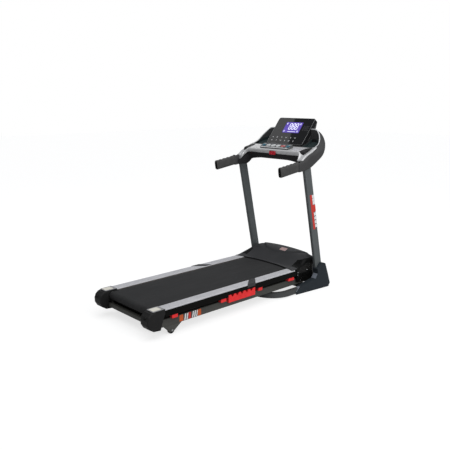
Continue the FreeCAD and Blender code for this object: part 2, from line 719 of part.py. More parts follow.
def strut_drift():
    # How far the strut's free pin strays from the lugs between the two ends
    # of the fold, in the frame of the deck.
    dy0 = STRUT_UP[0] - STRUT_LOW[0]
    dz0 = STRUT_UP[1] - STRUT_LOW[1]
    ry = STRUT_UP[0] - PIVOT_Y
    rz = STRUT_UP[1] - PIVOT_Z

    def lug(theta):
        c = math.cos(theta)
        s = math.sin(theta)
        return PIVOT_Y + ry * c + rz * s, PIVOT_Z - ry * s + rz * c

    full = math.radians(FOLD_MAX)
    ey, ez = lug(full)
    len0 = math.hypot(dy0, dz0)
    len1 = math.hypot(ey - STRUT_LOW[0], ez - STRUT_LOW[1])
    ang0 = math.atan2(dz0, dy0)
    ang1 = math.atan2(ez - STRUT_LOW[1], ey - STRUT_LOW[0])
    mid = full / 2
    length = (len0 + len1) / 2
    angle = (ang0 + ang1) / 2
    py = STRUT_LOW[0] + length * math.cos(angle)
    pz = STRUT_LOW[1] + length * math.sin(angle)
    ly, lz = lug(mid)
    wy = py - ly
    wz = pz - lz
    c = math.cos(mid)
    s = math.sin(mid)
    return wy * c - wz * s, wy * s + wz * c


SLOT_DY, SLOT_DZ = strut_drift()


# ======================= console (body "base") ===========================

def grip_rotation():
    return lean_matrix(GRIP_TIP, GRIP_ROOT)


def grip_prism(half_w, half_h, s0, s1, radius):
    # A rounded bar along the handle's axis, from s0 to s1 past the tip.
    bar = round_edges(box(-half_w, half_w, -half_h, half_h, s0, s1), radius, along_z)
    return placed(bar, V(GRIP_X, GRIP_TIP[0], GRIP_TIP[1]), grip_rotation())


def console_bracket():
    # Steel foot on top of the upright and the web that carries the crossbar.
    foot = box(338, 358, 525, 636, UPRIGHT_HIGH[1], 1000)
    web = box(340, 350, 590, 634, 999, 1066)
    return fuse([foot, web])


def make_console_frame():
    pieces = []
    tube = grip_prism(11, 26, 12, 244, 9)
    tube = tube.cut(grip_prism(9, 24, 11, 245, 7))
    pieces.append(both(tube))
    pieces.append(both(console_bracket()))
    pieces.append(rect_tube(-342, 342, 598, 626, 1036, 1064, 2.0, "x"))
    return fuse(pieces)


def make_grip():
    w = 17.5
    h = 38.0
    bar = grip_prism(w, h, 0, 204, 15)
    bar = bar.cut(grip_prism(11, 26, 12, 300, 9))
    for i in range(4):
        s = 52 + 42 * i
        dip = Part.makeCylinder(60, 60, V(-30, -h - 57.5, s), X_AXIS)
        bar = bar.cut(placed(dip, V(GRIP_X, GRIP_TIP[0], GRIP_TIP[1]), grip_rotation()))
    return bar


def make_handle_collars():
    ring = grip_prism(20, 41, 204, 216, 17)
    return both(ring.cut(grip_prism(11, 26, 190, 230, 9)))


ARM_TOP = [(470, 1042), (540, 1046), (594, 1075), (643, 1098), (690, 1116), (740, 1134),
           (775, 1156), (805, 1186), (830, 1212), (850, 1232), (870, 1250)]
ARM_LOW = [(870, 1168), (840, 1136), (800, 1096), (745, 1057), (700, 1033), (665, 1012), (619, 986),
           (560, 970), (480, 962)]


def hoop_outline(inset, y_front):
    half = HOOP_HALF - inset
    back = HOOP_BACK - inset
    r = HOOP_CORNER - inset
    k = math.sqrt(0.5) * r
    a = V(half, y_front, 0)
    b = V(half, back - r, 0)
    c = V(half - r, back, 0)
    mid = V(half - r + k, back - r + k, 0)
    edges = [Part.makeLine(a, b), Part.Arc(b, mid, c).toShape()]
    edges.append(Part.makeLine(c, V(-c.x, c.y, 0)))
    edges.append(Part.Arc(V(-c.x, c.y, 0), V(-mid.x, mid.y, 0), V(-b.x, b.y, 0)).toShape())
    edges.append(Part.makeLine(V(-b.x, b.y, 0), V(-a.x, a.y, 0)))
    edges.append(Part.makeLine(V(-a.x, a.y, 0), a))
    return Part.Face(Part.Wire(edges)).extrude(V(0, 0, 1400))


def side_band(top, low, x_half):
    upper = smooth_curve([V(-x_half, y, z) for y, z in top])
    lower = smooth_curve([V(-x_half, y, z) for y, z in low])
    p = [V(-x_half, top[-1][0], top[-1][1]), V(-x_half, low[0][0], low[0][1]),
         V(-x_half, low[-1][0], low[-1][1]), V(-x_half, top[0][0], top[0][1])]
    wire = Part.Wire([upper, Part.makeLine(p[0], p[1]), lower, Part.makeLine(p[2], p[3])])
    return Part.Face(wire).extrude(V(2 * x_half, 0, 0))


def band_inside(wall):
    top = [(y, z - wall) for y, z in ARM_TOP]
    low = [(y, z + wall) for y, z in ARM_LOW]
    return side_band(top, low, 400)


def make_console_yoke():
    ring = hoop_outline(0, 440).cut(hoop_outline(HOOP_WALL, 400))
    hoop = ring.common(side_band(ARM_TOP, ARM_LOW, 400))
    core = hoop_outline(4, 440).cut(hoop_outline(HOOP_WALL - 4, 400)).common(band_inside(4))
    core = core.cut(box(-400, 400, 400, 560, 900, 1200))
    hoop = hoop.cut(core)
    hoop = hoop.cut(both(grip_prism(60, 90, 120, 216, 5)))
    hoop = hoop.cut(trim_ring()).cut(display_envelope())
    # Passages for the handle tube, the crossbar and the top of the upright.
    tube = grip_prism(11, 26, 150, 244, 9)
    hoop = hoop.cut(both(tube))
    hoop = hoop.cut(both(console_bracket()))
    hoop = hoop.cut(box(-342, 342, 598, 626, 1036, 1064))
    w = UPRIGHT_W / 2
    d = UPRIGHT_D / 2
    post = placed(round_edges(box(-w, w, -d, d, 800, 1100), 10, along_z),
                  V(UPRIGHT_X, UPRIGHT_LOW[0], UPRIGHT_LOW[1]), lean_matrix(UPRIGHT_LOW, UPRIGHT_HIGH))
    post = post.common(box(300, 400, 400, 900, 46, UPRIGHT_HIGH[1]))
    return hoop.cut(both(post))


TRAY_X = 323.5
TRAY_SECTION = [(583, 1082), (584, 1096), (592, 1106), (640, 1117), (690, 1128), (760, 1152), (822, 1192),
                (822, 1150), (760, 1106), (690, 1070), (640, 1046), (616, 1029), (600, 1029), (591, 1038),
                (586, 1066)]
TRAY_HOLLOW = [(588, 1084), (589, 1095), (594, 1101), (642, 1112), (692, 1123), (762, 1147), (814, 1181),
               (814, 1151), (757, 1111), (687, 1075), (637, 1051), (613, 1034), (603, 1034), (596, 1041),
               (591, 1066)]


def tray_recess(grow):
    # Open recess on each side of the display, kept clear of the hoop.
    g = grow
    well = side_prism([(694 - g, 1260), (694 - g, 1110 - g), (712, 1114 - g), (812, 1160 - g), (812, 1260)],
                      212 - g, 312)
    return both(well.common(hoop_outline(HOOP_WALL + 6 - g, 400)))


def make_console_tray():
    # Front bar, floor of the tray and the dark underside in one moulding.
    outer = side_prism(TRAY_SECTION, -TRAY_X, TRAY_X)
    hollow = side_prism(TRAY_HOLLOW, -TRAY_X + 5, TRAY_X - 5)
    outer = outer.cut(hollow).cut(tray_recess(0.0))
    outer = outer.cut(box(-340, 340, 598, 626, 1036, 1064))
    outer = outer.cut(display_envelope())
    outer = outer.cut(keypad_envelope())
    outer = outer.cut(box(KEY_SLOT_X - 34, KEY_SLOT_X + 34, 570, 592, 1060, 1096))
    grip_gap = both(grip_prism(12, 27, 190, 264, 9))
    return outer.cut(grip_gap).common(hoop_outline(HOOP_WALL + 0.5, 400))


def make_tray_deck():
    # Bright plate on top of the tray, in front of the display.
    t = 3.0
    profile = [(596, 1107), (640, 1117), (687, 1127.4), (687, 1127.4 + t), (640, 1117 + t), (596, 1107 + t)]
    plate = side_prism(profile, -TRAY_X + 3, TRAY_X - 3)
    return plate.cut(keypad_envelope())


def make_bottle_trays():
    liner = tray_recess(0.0).cut(tray_recess(-3.0))
    low = side_prism([(680, 1090), (680, 1126), (694, 1130), (760, 1153), (815, 1188), (815, 1090)],
                     -330, 330)
    return liner.common(low)


def trim_ring():
    # Bright line let into the inner lip of the hoop.
    ring = hoop_outline(HOOP_WALL - 10, 600).cut(hoop_outline(HOOP_WALL - 3, 500))
    top = [(y, z + 1.5) for y, z in ARM_TOP]
    low = [(y, z - 4.0) for y, z in reversed(ARM_TOP)]
    trim = ring.common(side_band(top, low, 400))
    trim = trim.cut(box(-400, 400, 400, 640, 900, 1300))
    return trim.cut(box(-196, 196, 700, 900, 900, 1300))


def display_frame():
    dy = DISPLAY_HIGH[0] - DISPLAY_LOW[0]
    dz = DISPLAY_HIGH[1] - DISPLAY_LOW[1]
    angle = math.degrees(math.atan2(-dy, dz))
    return FreeCAD.Rotation(X_AXIS, angle), math.hypot(dy, dz)


def on_display(shape):
    rotation, _ = display_frame()
    return placed(shape, V(0, DISPLAY_LOW[0], DISPLAY_LOW[1]), rotation)


def display_back(grow):
    # Thicker rear cover, chamfered at its top and bottom.
    g = grow
    profile = [(30, 22 - g), (DISPLAY_T, 22 - g), (DISPLAY_BACK + g, 48 - g), (DISPLAY_BACK + g, 212 + g),
               (DISPLAY_T + 4, 250 + g), (30, 250 + g)]
    return on_display(side_prism(profile, -188 - g, 188 + g))


def display_envelope():
    _, height = display_frame()
    front = on_display(box(-DISPLAY_HALF, DISPLAY_HALF, 0, DISPLAY_T, 0, height))
    return front.fuse(display_back(0.0)).fuse(neck_block())


LCD = (-82.0, 92.0, 113.0, 217.0)


def make_display_housing():
    _, height = display_frame()
    shell = box(-DISPLAY_HALF, DISPLAY_HALF, 3, DISPLAY_T, 0, height)
    shell = round_edges(shell, 18, along_y)
    hollow = box(-DISPLAY_HALF + 5, DISPLAY_HALF - 5, 8, DISPLAY_T - 4, 5, height - 5)
    x0, x1, z0, z1 = LCD
    pocket = box(x0 - 0.5, x1 + 0.5, 2, 12.5, z0 - 0.5, z1 + 0.5)
    body = on_display(shell).fuse(display_back(0.0)).fuse(make_display_neck())
    return body.cut(on_display(hollow)).cut(display_back(-4.0)).cut(on_display(pocket))


def neck_block():
    return side_prism([(742, 1120), (752, 1176), (808, 1246), (823.5, 1228), (823.5, 1196), (800, 1150)],
                      -120, 120)


def make_display_neck():
    hollow = side_prism([(762, 1156), (768, 1180), (806, 1222), (815, 1214), (815, 1198), (794, 1168)],
                        -114, 114)
    return neck_block().cut(hollow)


def make_display_lens():
    _, height = display_frame()
    pane = box(-DISPLAY_HALF + 4, DISPLAY_HALF - 4, 0.5, 3, 4, height - 4)
    return on_display(round_edges(pane, 15, along_y))


def make_lcd_module():
    x0, x1, z0, z1 = LCD
    return on_display(box(x0, x1, 3.0, 12, z0, z1))


KEYPAD_LOW = (593.0, 1117.0)
KEYPAD_TILT = -63.0
KEYPAD_LEN = 64.0


def on_keypad(shape):
    return placed(shape, V(0, KEYPAD_LOW[0], KEYPAD_LOW[1]), FreeCAD.Rotation(X_AXIS, KEYPAD_TILT))


def keypad_wedge():
    return side_prism([(600, 1109), (653, 1136), (662, 1122), (611, 1110.5)], -149, 149)


def keypad_envelope():
    return on_keypad(box(-153, 153, 0, 12, 0, KEYPAD_LEN)).fuse(keypad_wedge())


KEYS = {
    "key_speed_down": (-128.0, 30.0, 30.0),
    "key_mode": (-78.0, 40.0, 22.0),
    "key_program": (-26.0, 40.0, 22.0),
    "key_start": (26.0, 40.0, 22.0),
    "key_stop": (78.0, 40.0, 22.0),
    "key_speed_up": (128.0, 30.0, 30.0),
}


def make_keypad_housing():
    slab = box(-153, 153, 0, 12, 0, KEYPAD_LEN)
    slab = round_edges(slab, 7, along_y)
    for x, w, h in KEYS.values():
        zc = KEYPAD_LEN / 2
        slab = slab.cut(box(x - w / 2 - 0.4, x + w / 2 + 0.4, -1, 8.5, zc - h / 2 - 0.4, zc + h / 2 + 0.4))
    return on_keypad(slab).fuse(keypad_wedge())


def make_key(x, w, h):
    zc = KEYPAD_LEN / 2
    cap = box(x - w / 2, x + w / 2, -KEY_LIFT, 6, zc - h / 2, zc + h / 2)
    cap = round_edges(cap, 3, along_y)
    return on_keypad(cap)


KEY_SLOT_X = 8.0


def make_key_socket():
    frame = box(KEY_SLOT_X - 34, KEY_SLOT_X + 34, 577, 592, 1060, 1096)
    frame = frame.cut(box(KEY_SLOT_X - 30.5, KEY_SLOT_X + 30.5, 576, 588, 1063.5, 1092.5))
    return round_edges(frame, 2, along_y)


def make_safety_key():
    body = box(KEY_SLOT_X - 30, KEY_SLOT_X + 30, 569, 587.5, 1064, 1092)
    body = round_edges(body, 6, along_y)
    loop = cyl_x(KEY_SLOT_X - 3, KEY_SLOT_X + 3, 569, 1072, 5)
    loop = loop.cut(cyl_x(KEY_SLOT_X - 4, KEY_SLOT_X + 4, 567, 1072, 2))
    return fuse([body, loop])


ROCKER_Y = 824.0


def make_power_rocker():
    body = cyl_x(198, 222, ROCKER_Y, 125, 8)
    face = side_prism([(826, 119), (831.2, 118.8), (829.8, 125), (832.4, 131.2), (826, 131)], 198, 222)
    return fuse([body, face])


def make_breaker_button():
    return fuse([cyl_y(815, 832, 240, 125, 5.6), cyl_y(813, 816, 240, 125, 7.6)])


# ======================= write everything ================================

os.makedirs("parts", exist_ok=True)

emit("deck_frame", make_deck_frame())
emit("running_board", make_running_board())
emit("running_belt", make_running_belt())
rail = make_side_rail()
emit("side_rail_right", rail)
emit("side_rail_left", mirror(rail))
emit("foot_strips", both(make_foot_strip()))
emit("strip_joiners", make_strip_joiners())
cap = make_end_cap()
emit("end_cap_right", cap)
emit("end_cap_left", mirror(cap))
emit("tension_bolts", make_tension_bolts())
emit("cushions", make_cushions())
emit("cushion_blocks", make_cushion_blocks())
emit("deck_axles", make_deck_axles())
emit("rear_roller", roller_tube(REAR_ROLLER_Y))
emit("front_roller", make_front_roller())
emit("motor_rotor", make_motor_rotor())
emit("motor_housing", make_motor_housing())
emit("drive_belt", make_drive_belt())
emit("motor_controller", make_motor_controller())
emit("motor_hood", make_motor_hood())
emit("hood_side_panels", both(make_hood_side_panel()))
emit("belly_pan", make_belly_pan())
emit("hood_screws", make_hood_screws())
emit("power_inlet", make_power_inlet())
rear_wheel = wheel(REAR_WHEEL_X - 9, REAR_WHEEL_X + 8.5, REAR_WHEEL_Y, WHEEL_R, WHEEL_R, 4.05)
emit("rear_wheel_right", rear_wheel)
emit("rear_wheel_left", mirror(rear_wheel))

emit("base_frame", make_base_frame())
emit("pivot_brackets", make_pivot_brackets())
emit("base_pins", make_base_pins())
post = make_upright()
emit("upright_right", post)
emit("upright_left", mirror(post))
foot_cover = make_foot_cover()
emit("foot_cover_right", foot_cover)
emit("foot_cover_left", mirror(foot_cover))
emit("base_feet", make_base_feet())
small_wheel = wheel(TRANSPORT_X - 9, TRANSPORT_X + 9, TRANSPORT_Y, 25, TRANSPORT_R, 4.05)
emit("transport_wheel_right", small_wheel)
emit("transport_wheel_left", mirror(small_wheel))

emit("strut_tube", make_strut_tube())
emit("strut_rod", make_strut_rod())

emit("console_frame", make_console_frame())
emit("console_yoke", make_console_yoke())
emit("console_tray", make_console_tray())
emit("tray_deck", make_tray_deck())
emit("bottle_trays", make_bottle_trays())
emit("tray_trim", trim_ring())
emit("display_housing", make_display_housing())
emit("display_lens", make_display_lens())
emit("lcd_module", make_lcd_module())
emit("keypad_housing", make_keypad_housing())
for key, (kx, kw, kh) in KEYS.items():
    emit(key, make_key(kx, kw, kh))
grip = make_grip()
emit("grips", both(grip))
emit("handle_collars", make_handle_collars())
emit("key_socket", make_key_socket())
emit("safety_key", make_safety_key())
emit("power_rocker", make_power_rocker())
emit("breaker_button", make_breaker_button())
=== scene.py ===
"""Looks of a folding treadmill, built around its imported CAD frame."""
import json
import math

import bmesh
import bpy
from mathutils import Matrix, Vector


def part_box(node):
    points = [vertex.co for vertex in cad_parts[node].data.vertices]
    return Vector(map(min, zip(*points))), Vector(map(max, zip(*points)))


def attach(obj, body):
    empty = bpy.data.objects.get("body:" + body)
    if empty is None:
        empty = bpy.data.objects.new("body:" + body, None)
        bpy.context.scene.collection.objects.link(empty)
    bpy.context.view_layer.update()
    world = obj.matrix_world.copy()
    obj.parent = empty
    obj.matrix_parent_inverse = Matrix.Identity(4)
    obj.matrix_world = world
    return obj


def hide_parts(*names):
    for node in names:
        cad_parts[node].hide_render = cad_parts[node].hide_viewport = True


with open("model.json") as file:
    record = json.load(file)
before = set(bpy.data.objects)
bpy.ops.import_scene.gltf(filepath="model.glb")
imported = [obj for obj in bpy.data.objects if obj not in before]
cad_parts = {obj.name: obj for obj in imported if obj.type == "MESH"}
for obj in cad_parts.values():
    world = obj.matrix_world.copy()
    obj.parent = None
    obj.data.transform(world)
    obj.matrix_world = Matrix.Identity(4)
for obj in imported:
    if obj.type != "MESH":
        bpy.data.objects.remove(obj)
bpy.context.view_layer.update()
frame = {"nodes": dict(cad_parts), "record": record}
nodes = frame["nodes"]
scene = bpy.context.scene

# Millimetres from here on: x to the runner's right, y forwards along the deck, z up.
# The deck drawing's station zero sits this far behind the middle of the object.
STATION = -9.75

# Console hoop: outer half width, wall, plan radius of its corners, and its back.
HOOP_X = 370.0
HOOP_WALL = 46.0
HOOP_TURN = 140.0
HOOP_BACK = 870.0

# Display: lower edge of the glass (y, z), the way up its face, and its plan.
DISPLAY_LOW = (712.0, 1140.0)
DISPLAY_DIR = (0.62772, 0.77844)
DISPLAY_HALF = 189.0
DISPLAY_FOOT = 3.0
DISPLAY_HEAD = 259.0
# Depth behind the glass at which the black front half meets the grey rear cover.
DISPLAY_SPLIT = 34.5

# Keypad: lower front edge (y, z) and slope in degrees.
KEYPAD_LOW = (593.0, 1117.0)
KEYPAD_SLOPE = 27.0

# Handle: middle of the grip, its tip and its root (y, z), half width and half height.
GRIP_X = 345.0
GRIP_TIP = (290.0, 972.5)
GRIP_ROOT = (500.0, 1003.0)
GRIP_W = 17.5
GRIP_H = 38.0

# Motor hood: half width, crest, front face, and its height where it meets the belt.
HOOD_X = 318.0
CREST_Y = 738.0
HOOD_FRONT = 829.0
HOOD_LOW = 189.0
PANEL_BACK = 545.0

# Deck: outer face of the side tubes and the uprights' outer face and centre line (y, z).
TUBE_X = 300.0
UPRIGHT_FACE = 361.5
UPRIGHT_FOOT = (793.0, 46.0)
UPRIGHT_HEAD = (590.5, 988.0)


def P(x, y, z):
    """A point in metres from millimetres across, along the deck and up."""
    return Vector((x / 1000.0, (y + STATION) / 1000.0, z / 1000.0))


# ---------------------------------------------------------------- camera, light, floor

def make_camera():
    data = bpy.data.cameras.new("camera")
    data.sensor_width = 36.0
    data.lens = 46.29
    data.shift_x = -0.0057
    data.shift_y = -0.0028
    data.clip_end = 60.0
    camera = bpy.data.objects.new("camera", data)
    camera.location = (3.144, -2.8268, 1.504)
    camera.rotation_euler = (math.radians(90 - 12.27), 0.0, math.radians(47.17))
    scene.collection.objects.link(camera)
    scene.camera = camera


def area_light(name, place, target, width, height, power, colour=(1, 1, 1)):
    data = bpy.data.lights.new(name, "AREA")
    data.shape = "RECTANGLE"
    data.size = width
    data.size_y = height
    data.energy = power
    data.color = colour
    lamp = bpy.data.objects.new(name, data)
    lamp.location = place
    aim = Vector(target) - Vector(place)
    lamp.rotation_euler = aim.to_track_quat("-Z", "Y").to_euler()
    scene.collection.objects.link(lamp)
    return lamp


def make_light():
    world = bpy.data.worlds.new("studio")
    world.use_nodes = True
    tree = world.node_tree
    soft = tree.nodes["Background"]
    soft.inputs["Color"].default_value = (0.92, 0.95, 1.0, 1.0)
    soft.inputs["Strength"].default_value = 0.20
    paper = tree.nodes.new("ShaderNodeBackground")
    paper.inputs["Color"].default_value = (1.0, 1.0, 1.0, 1.0)
    paper.inputs["Strength"].default_value = 1.0
    path = tree.nodes.new("ShaderNodeLightPath")
    choose = tree.nodes.new("ShaderNodeMixShader")
    tree.links.new(path.outputs["Is Camera Ray"], choose.inputs[0])
    tree.links.new(soft.outputs[0], choose.inputs[1])
    tree.links.new(paper.outputs[0], choose.inputs[2])
    tree.links.new(choose.outputs[0], tree.nodes["World Output"].inputs["Surface"])
    scene.world = world
    sky_light = bpy.data.lights.new("overhead", "SUN")
    sky_light.energy = 1.9
    sky_light.angle = math.radians(70)
    lamp = bpy.data.objects.new("overhead", sky_light)
    lamp.rotation_euler = (math.radians(8), math.radians(14), 0)
    scene.collection.objects.link(lamp)
    area_light("side", (4.8, 0.4, 2.2), (0, 0.1, 0.5), 2.4, 2.4, 92)
    area_light("rim", (-2.6, 3.4, 3.2), (0, 0.3, 0.7), 2.4, 1.6, 12)
    # A pale card up on the left, whose reflection falls on one half of the display glass.
    card = area_light("card", (-2.464, 0.230, 2.937), (0, 0, 0), 1.6, 1.6, 7)
    across = Vector((-0.971, 0.001, -0.239))
    up = Vector((0.1635, -0.726, -0.667))
    back = Vector((-0.174, -0.687, 0.705))
    card.rotation_euler = Matrix((across, up, back)).transposed().to_euler()
    scene.view_settings.view_transform = "Standard"


def make_floor():
    bpy.ops.mesh.primitive_plane_add(size=40.0, location=(0, 0, 0))
    floor = bpy.context.object
    floor.name = "floor"
    m = bpy.data.materials.new("studio_floor")
    m.use_nodes = True
    shader = m.node_tree.nodes["Principled BSDF"]
    shader.inputs["Base Color"].default_value = (0.34, 0.34, 0.34, 1.0)
    shader.inputs["Roughness"].default_value = 0.9
    shader.inputs["Emission Color"].default_value = (1.0, 1.0, 1.0, 1.0)
    # The paper looks white to the camera but throws only part of that light back up.
    path = m.node_tree.nodes.new("ShaderNodeLightPath")
    glow = m.node_tree.nodes.new("ShaderNodeMapRange")
    glow.inputs["To Min"].default_value = 0.08
    glow.inputs["To Max"].default_value = 0.72
    m.node_tree.links.new(path.outputs["Is Camera Ray"], glow.inputs["Value"])
    m.node_tree.links.new(glow.outputs["Result"], shader.inputs["Emission Strength"])
    floor.data.materials.append(m)


# ---------------------------------------------------------------- materials

class Graph:
    """Short hand for building a node material."""

    def __init__(self, name):
        self.material = bpy.data.materials.new(name)
        self.material.use_nodes = True
        self.tree = self.material.node_tree
        self.shader = self.tree.nodes["Principled BSDF"]
        self.place = self.add("ShaderNodeTexCoord").outputs["Object"]

    def add(self, kind, **values):
        node = self.tree.nodes.new(kind)
        for key, value in values.items():
            if hasattr(node, key):
                setattr(node, key, value)
            else:
                node.inputs[key.replace("_", " ")].default_value = value
        return node

    def link(self, a, b):
        self.tree.links.new(a, b)

    def stretch(self, scale):
        node = self.add("ShaderNodeMapping")
        node.inputs["Scale"].default_value = scale
        self.link(self.place, node.inputs["Vector"])
        return node.outputs["Vector"]

    def noise(self, scale, detail=3.0, stretch=(1, 1, 1), rough=0.55):
        node = self.add("ShaderNodeTexNoise", Scale=scale, Detail=detail, Roughness=rough)
        self.link(self.stretch(stretch), node.inputs["Vector"])
        return node.outputs["Fac"]

    def remap(self, value, low, high, start=0.3, end=0.7):
        node = self.add("ShaderNodeMapRange")
        node.inputs["From Min"].default_value = start
        node.inputs["From Max"].default_value = end
        node.inputs["To Min"].default_value = low
        node.inputs["To Max"].default_value = high
        self.link(value, node.inputs["Value"])
        return node.outputs["Result"]

    def mix(self, factor, a, b):
        node = self.add("ShaderNodeMix", data_type="RGBA")
        for value, socket in ((factor, node.inputs[0]), (a, node.inputs[6]), (b, node.inputs[7])):
            if hasattr(value, "node"):
                self.link(value, socket)
            elif isinstance(value, (tuple, list)):
                socket.default_value = (*value[:3], 1.0)
            else:
                socket.default_value = value
        return node.outputs[2]

    def maths(self, operation, a, b=0.0):
        node = self.add("ShaderNodeMath", operation=operation)
        for value, socket in ((a, node.inputs[0]), (b, node.inputs[1])):
            if hasattr(value, "node"):
                self.link(value, socket)
            else:
                socket.default_value = value
        return node.outputs[0]

    def bump(self, height, strength, distance, under=None):
        node = self.add("ShaderNodeBump", Strength=strength, Distance=distance)
        self.link(height, node.inputs["Height"])
        if under is not None:
            self.link(under, node.inputs["Normal"])
        return node.outputs["Normal"]

    def edges(self, low=0.52, high=0.60):
        """1 along worn convex edges, 0 elsewhere."""
        node = self.add("ShaderNodeNewGeometry")
        return self.remap(node.outputs["Pointiness"], 0.0, 1.0, low, high)

    def finish(self, colour, rough, normal=None, **direct):
        self.link(colour, self.shader.inputs["Base Color"])
        if hasattr(rough, "node"):
            self.link(rough, self.shader.inputs["Roughness"])
        else:
            self.shader.inputs["Roughness"].default_value = rough
        if normal is not None:
            self.link(normal, self.shader.inputs["Normal"])
        for key, value in direct.items():
            self.shader.inputs[key.replace("_", " ")].default_value = value
        return self.material


def shades(colour, amount):
    dark = tuple(c * (1 - amount) for c in colour)
    light = tuple(min(1.0, c * (1 + amount)) for c in colour)
    return dark, light


def moulded(name, colour, rough=0.45, vary=0.10, grain=1400.0, depth=0.0003, strength=0.25,
            worn=0.10, shine=0.14, **direct):
    """Injection-moulded plastic: fine spark-eroded grain, faint flow patches, polished edges."""
    g = Graph(name)
    dark, light = shades(colour, vary)
    patches = g.remap(g.noise(9.0, 4.0), 0.0, 1.0)
    base = g.mix(patches, dark, light)
    fine = g.noise(grain, 2.0)
    base = g.mix(g.remap(fine, 0.0, 0.18), base, shades(colour, 0.5)[1])
    edge = g.maths("MULTIPLY", g.edges(), worn)
    base = g.mix(edge, base, tuple(min(1.0, c * 1.9 + 0.02) for c in colour))
    scuffs = g.noise(60.0, 6.0, (1.0, 0.25, 1.0), 0.7)
    r = g.remap(scuffs, rough - 0.06, rough + 0.08)
    return g.finish(base, r, g.bump(fine, strength, depth), Specular_IOR_Level=shine, **direct)


def painted(name, colour, rough=0.38, metal=0.35, flake=0.25, peel=0.20, worn=0.30, **direct):
    """Powder-coated steel: orange peel, a little metal flake, thin coat on the edges."""
    g = Graph(name)
    dark, light = shades(colour, 0.12)
    base = g.mix(g.remap(g.noise(5.0, 4.0), 0.0, 1.0), dark, light)
    flakes = g.remap(g.noise(2600.0, 1.0), 0.0, flake, 0.55, 0.75)
    base = g.mix(flakes, base, tuple(min(1.0, c * 2.4 + 0.03) for c in colour))
    edge = g.maths("MULTIPLY", g.edges(), worn)
    base = g.mix(edge, base, tuple(min(1.0, c * 1.8 + 0.03) for c in colour))
    r = g.remap(g.noise(30.0, 5.0), rough - 0.05, rough + 0.07)
    bump = g.bump(g.noise(420.0, 2.0), peel, 0.0004)
    return g.finish(base, r, bump, Metallic=metal, Specular_IOR_Level=0.2, **direct)


def steel(name, colour, rough=0.28, axis=(1, 1, 1), lines=900.0, **direct):
    """Bare turned or ground steel: fine lines round or along the part, light tarnish."""
    g = Graph(name)
    dark, light = shades(colour, 0.14)
    base = g.mix(g.remap(g.noise(14.0, 5.0), 0.0, 1.0), dark, light)
    grind = g.noise(lines, 3.0, axis, 0.6)
    r = g.remap(grind, rough - 0.08, rough + 0.12)
    return g.finish(base, r, g.bump(grind, 0.18, 0.0002), Metallic=1.0, **direct)


def rubber(name, colour, rough=0.72, grain=700.0, strength=0.35, bloom=0.12, **direct):
    """Moulded rubber: matte skin, faint grey bloom, tiny pits."""
    g = Graph(name)
    dark, light = shades(colour, 0.12)
    base = g.mix(g.remap(g.noise(22.0, 4.0), 0.0, 1.0), dark, light)
    haze = g.remap(g.noise(7.0, 6.0, rough=0.7), 0.0, bloom, 0.5, 0.8)
    base = g.mix(haze, base, (0.35, 0.34, 0.33))
    fine = g.noise(grain, 3.0)
    r = g.remap(fine, rough - 0.05, rough + 0.08)
    return g.finish(base, r, g.bump(fine, strength, 0.0003), Specular_IOR_Level=0.2, **direct)


def belt_material():
    """Running belt: woven PVC face with a small waffle, streaked by use along its length."""
    g = Graph("belt_pvc")
    colour = (0.029, 0.0292, 0.0300)
    dark, light = shades(colour, 0.16)
    streaks = g.noise(26.0, 5.0, (1.0, 0.05, 1.0), 0.65)
    base = g.mix(g.remap(streaks, 0.0, 1.0), dark, light)
    dust = g.remap(g.noise(5.0, 6.0, (1.6, 0.7, 1.0), 0.7), 0.0, 0.20, 0.45, 0.85)
    base = g.mix(dust, base, (0.060, 0.060, 0.062))
    waffle = []
    for turn in (math.radians(45), math.radians(-45)):
        tilt = g.add("ShaderNodeMapping")
        tilt.inputs["Rotation"].default_value = (0, 0, turn)
        g.link(g.place, tilt.inputs["Vector"])
        wave = g.add("ShaderNodeTexWave", Scale=140.0, Distortion=0.0)
        g.link(tilt.outputs["Vector"], wave.inputs["Vector"])
        waffle.append(wave.outputs["Fac"])
    cells = g.maths("MULTIPLY", waffle[0], waffle[1])
    weave = g.bump(cells, 0.45, 0.0006)
    fine = g.bump(g.noise(1500.0, 2.0), 0.2, 0.0002, weave)
    base = g.mix(g.maths("MULTIPLY", cells, 0.25), base, (0.034, 0.034, 0.035))
    r = g.remap(streaks, 0.50, 0.66)
    return g.finish(base, r, fine, Specular_IOR_Level=0.10)


# Finishes of the record's material slots, and the extra ones of small visible pieces.
MATERIALS = {}
EXTRA = {}


def paint(slot, material):
    MATERIALS[slot] = material


def lamp_colour(name, colour, glow):
    """Lit segment or backlight of the display cell."""
    return moulded(name, colour, 0.3, 0.06, strength=0.02, worn=0.0, Emission_Color=(*colour, 1.0),
                   Emission_Strength=glow)


def display_shell():
    """Gloss black front half of the display housing and its grey rear cover, split along the parting line."""
    g = Graph("display_shell")
    tilt = g.add("ShaderNodeVectorMath", operation="DOT_PRODUCT")
    g.link(g.place, tilt.inputs[0])
    cy, cz = DISPLAY_DIR
    tilt.inputs[1].default_value = (0.0, cz, -cy)
    low = P(0, *DISPLAY_LOW)
    part = low.y * cz - low.z * cy + DISPLAY_SPLIT / 1000.0
    grey = g.remap(tilt.outputs["Value"], 0.0, 1.0, part, part + 0.0006)
    fine = g.noise(1400.0, 2.0)
    patches = g.remap(g.noise(9.0, 4.0), 0.0, 1.0)
    black = g.mix(patches, (0.010, 0.010, 0.011), (0.014, 0.014, 0.015))
    rear = g.mix(patches, (0.075, 0.076, 0.078), (0.092, 0.093, 0.096))
    rough = g.remap(grey, 0.22, 0.46, 0.0, 1.0)
    return g.finish(g.mix(grey, black, rear), rough, g.bump(fine, 0.15, 0.0003), Specular_IOR_Level=0.2)


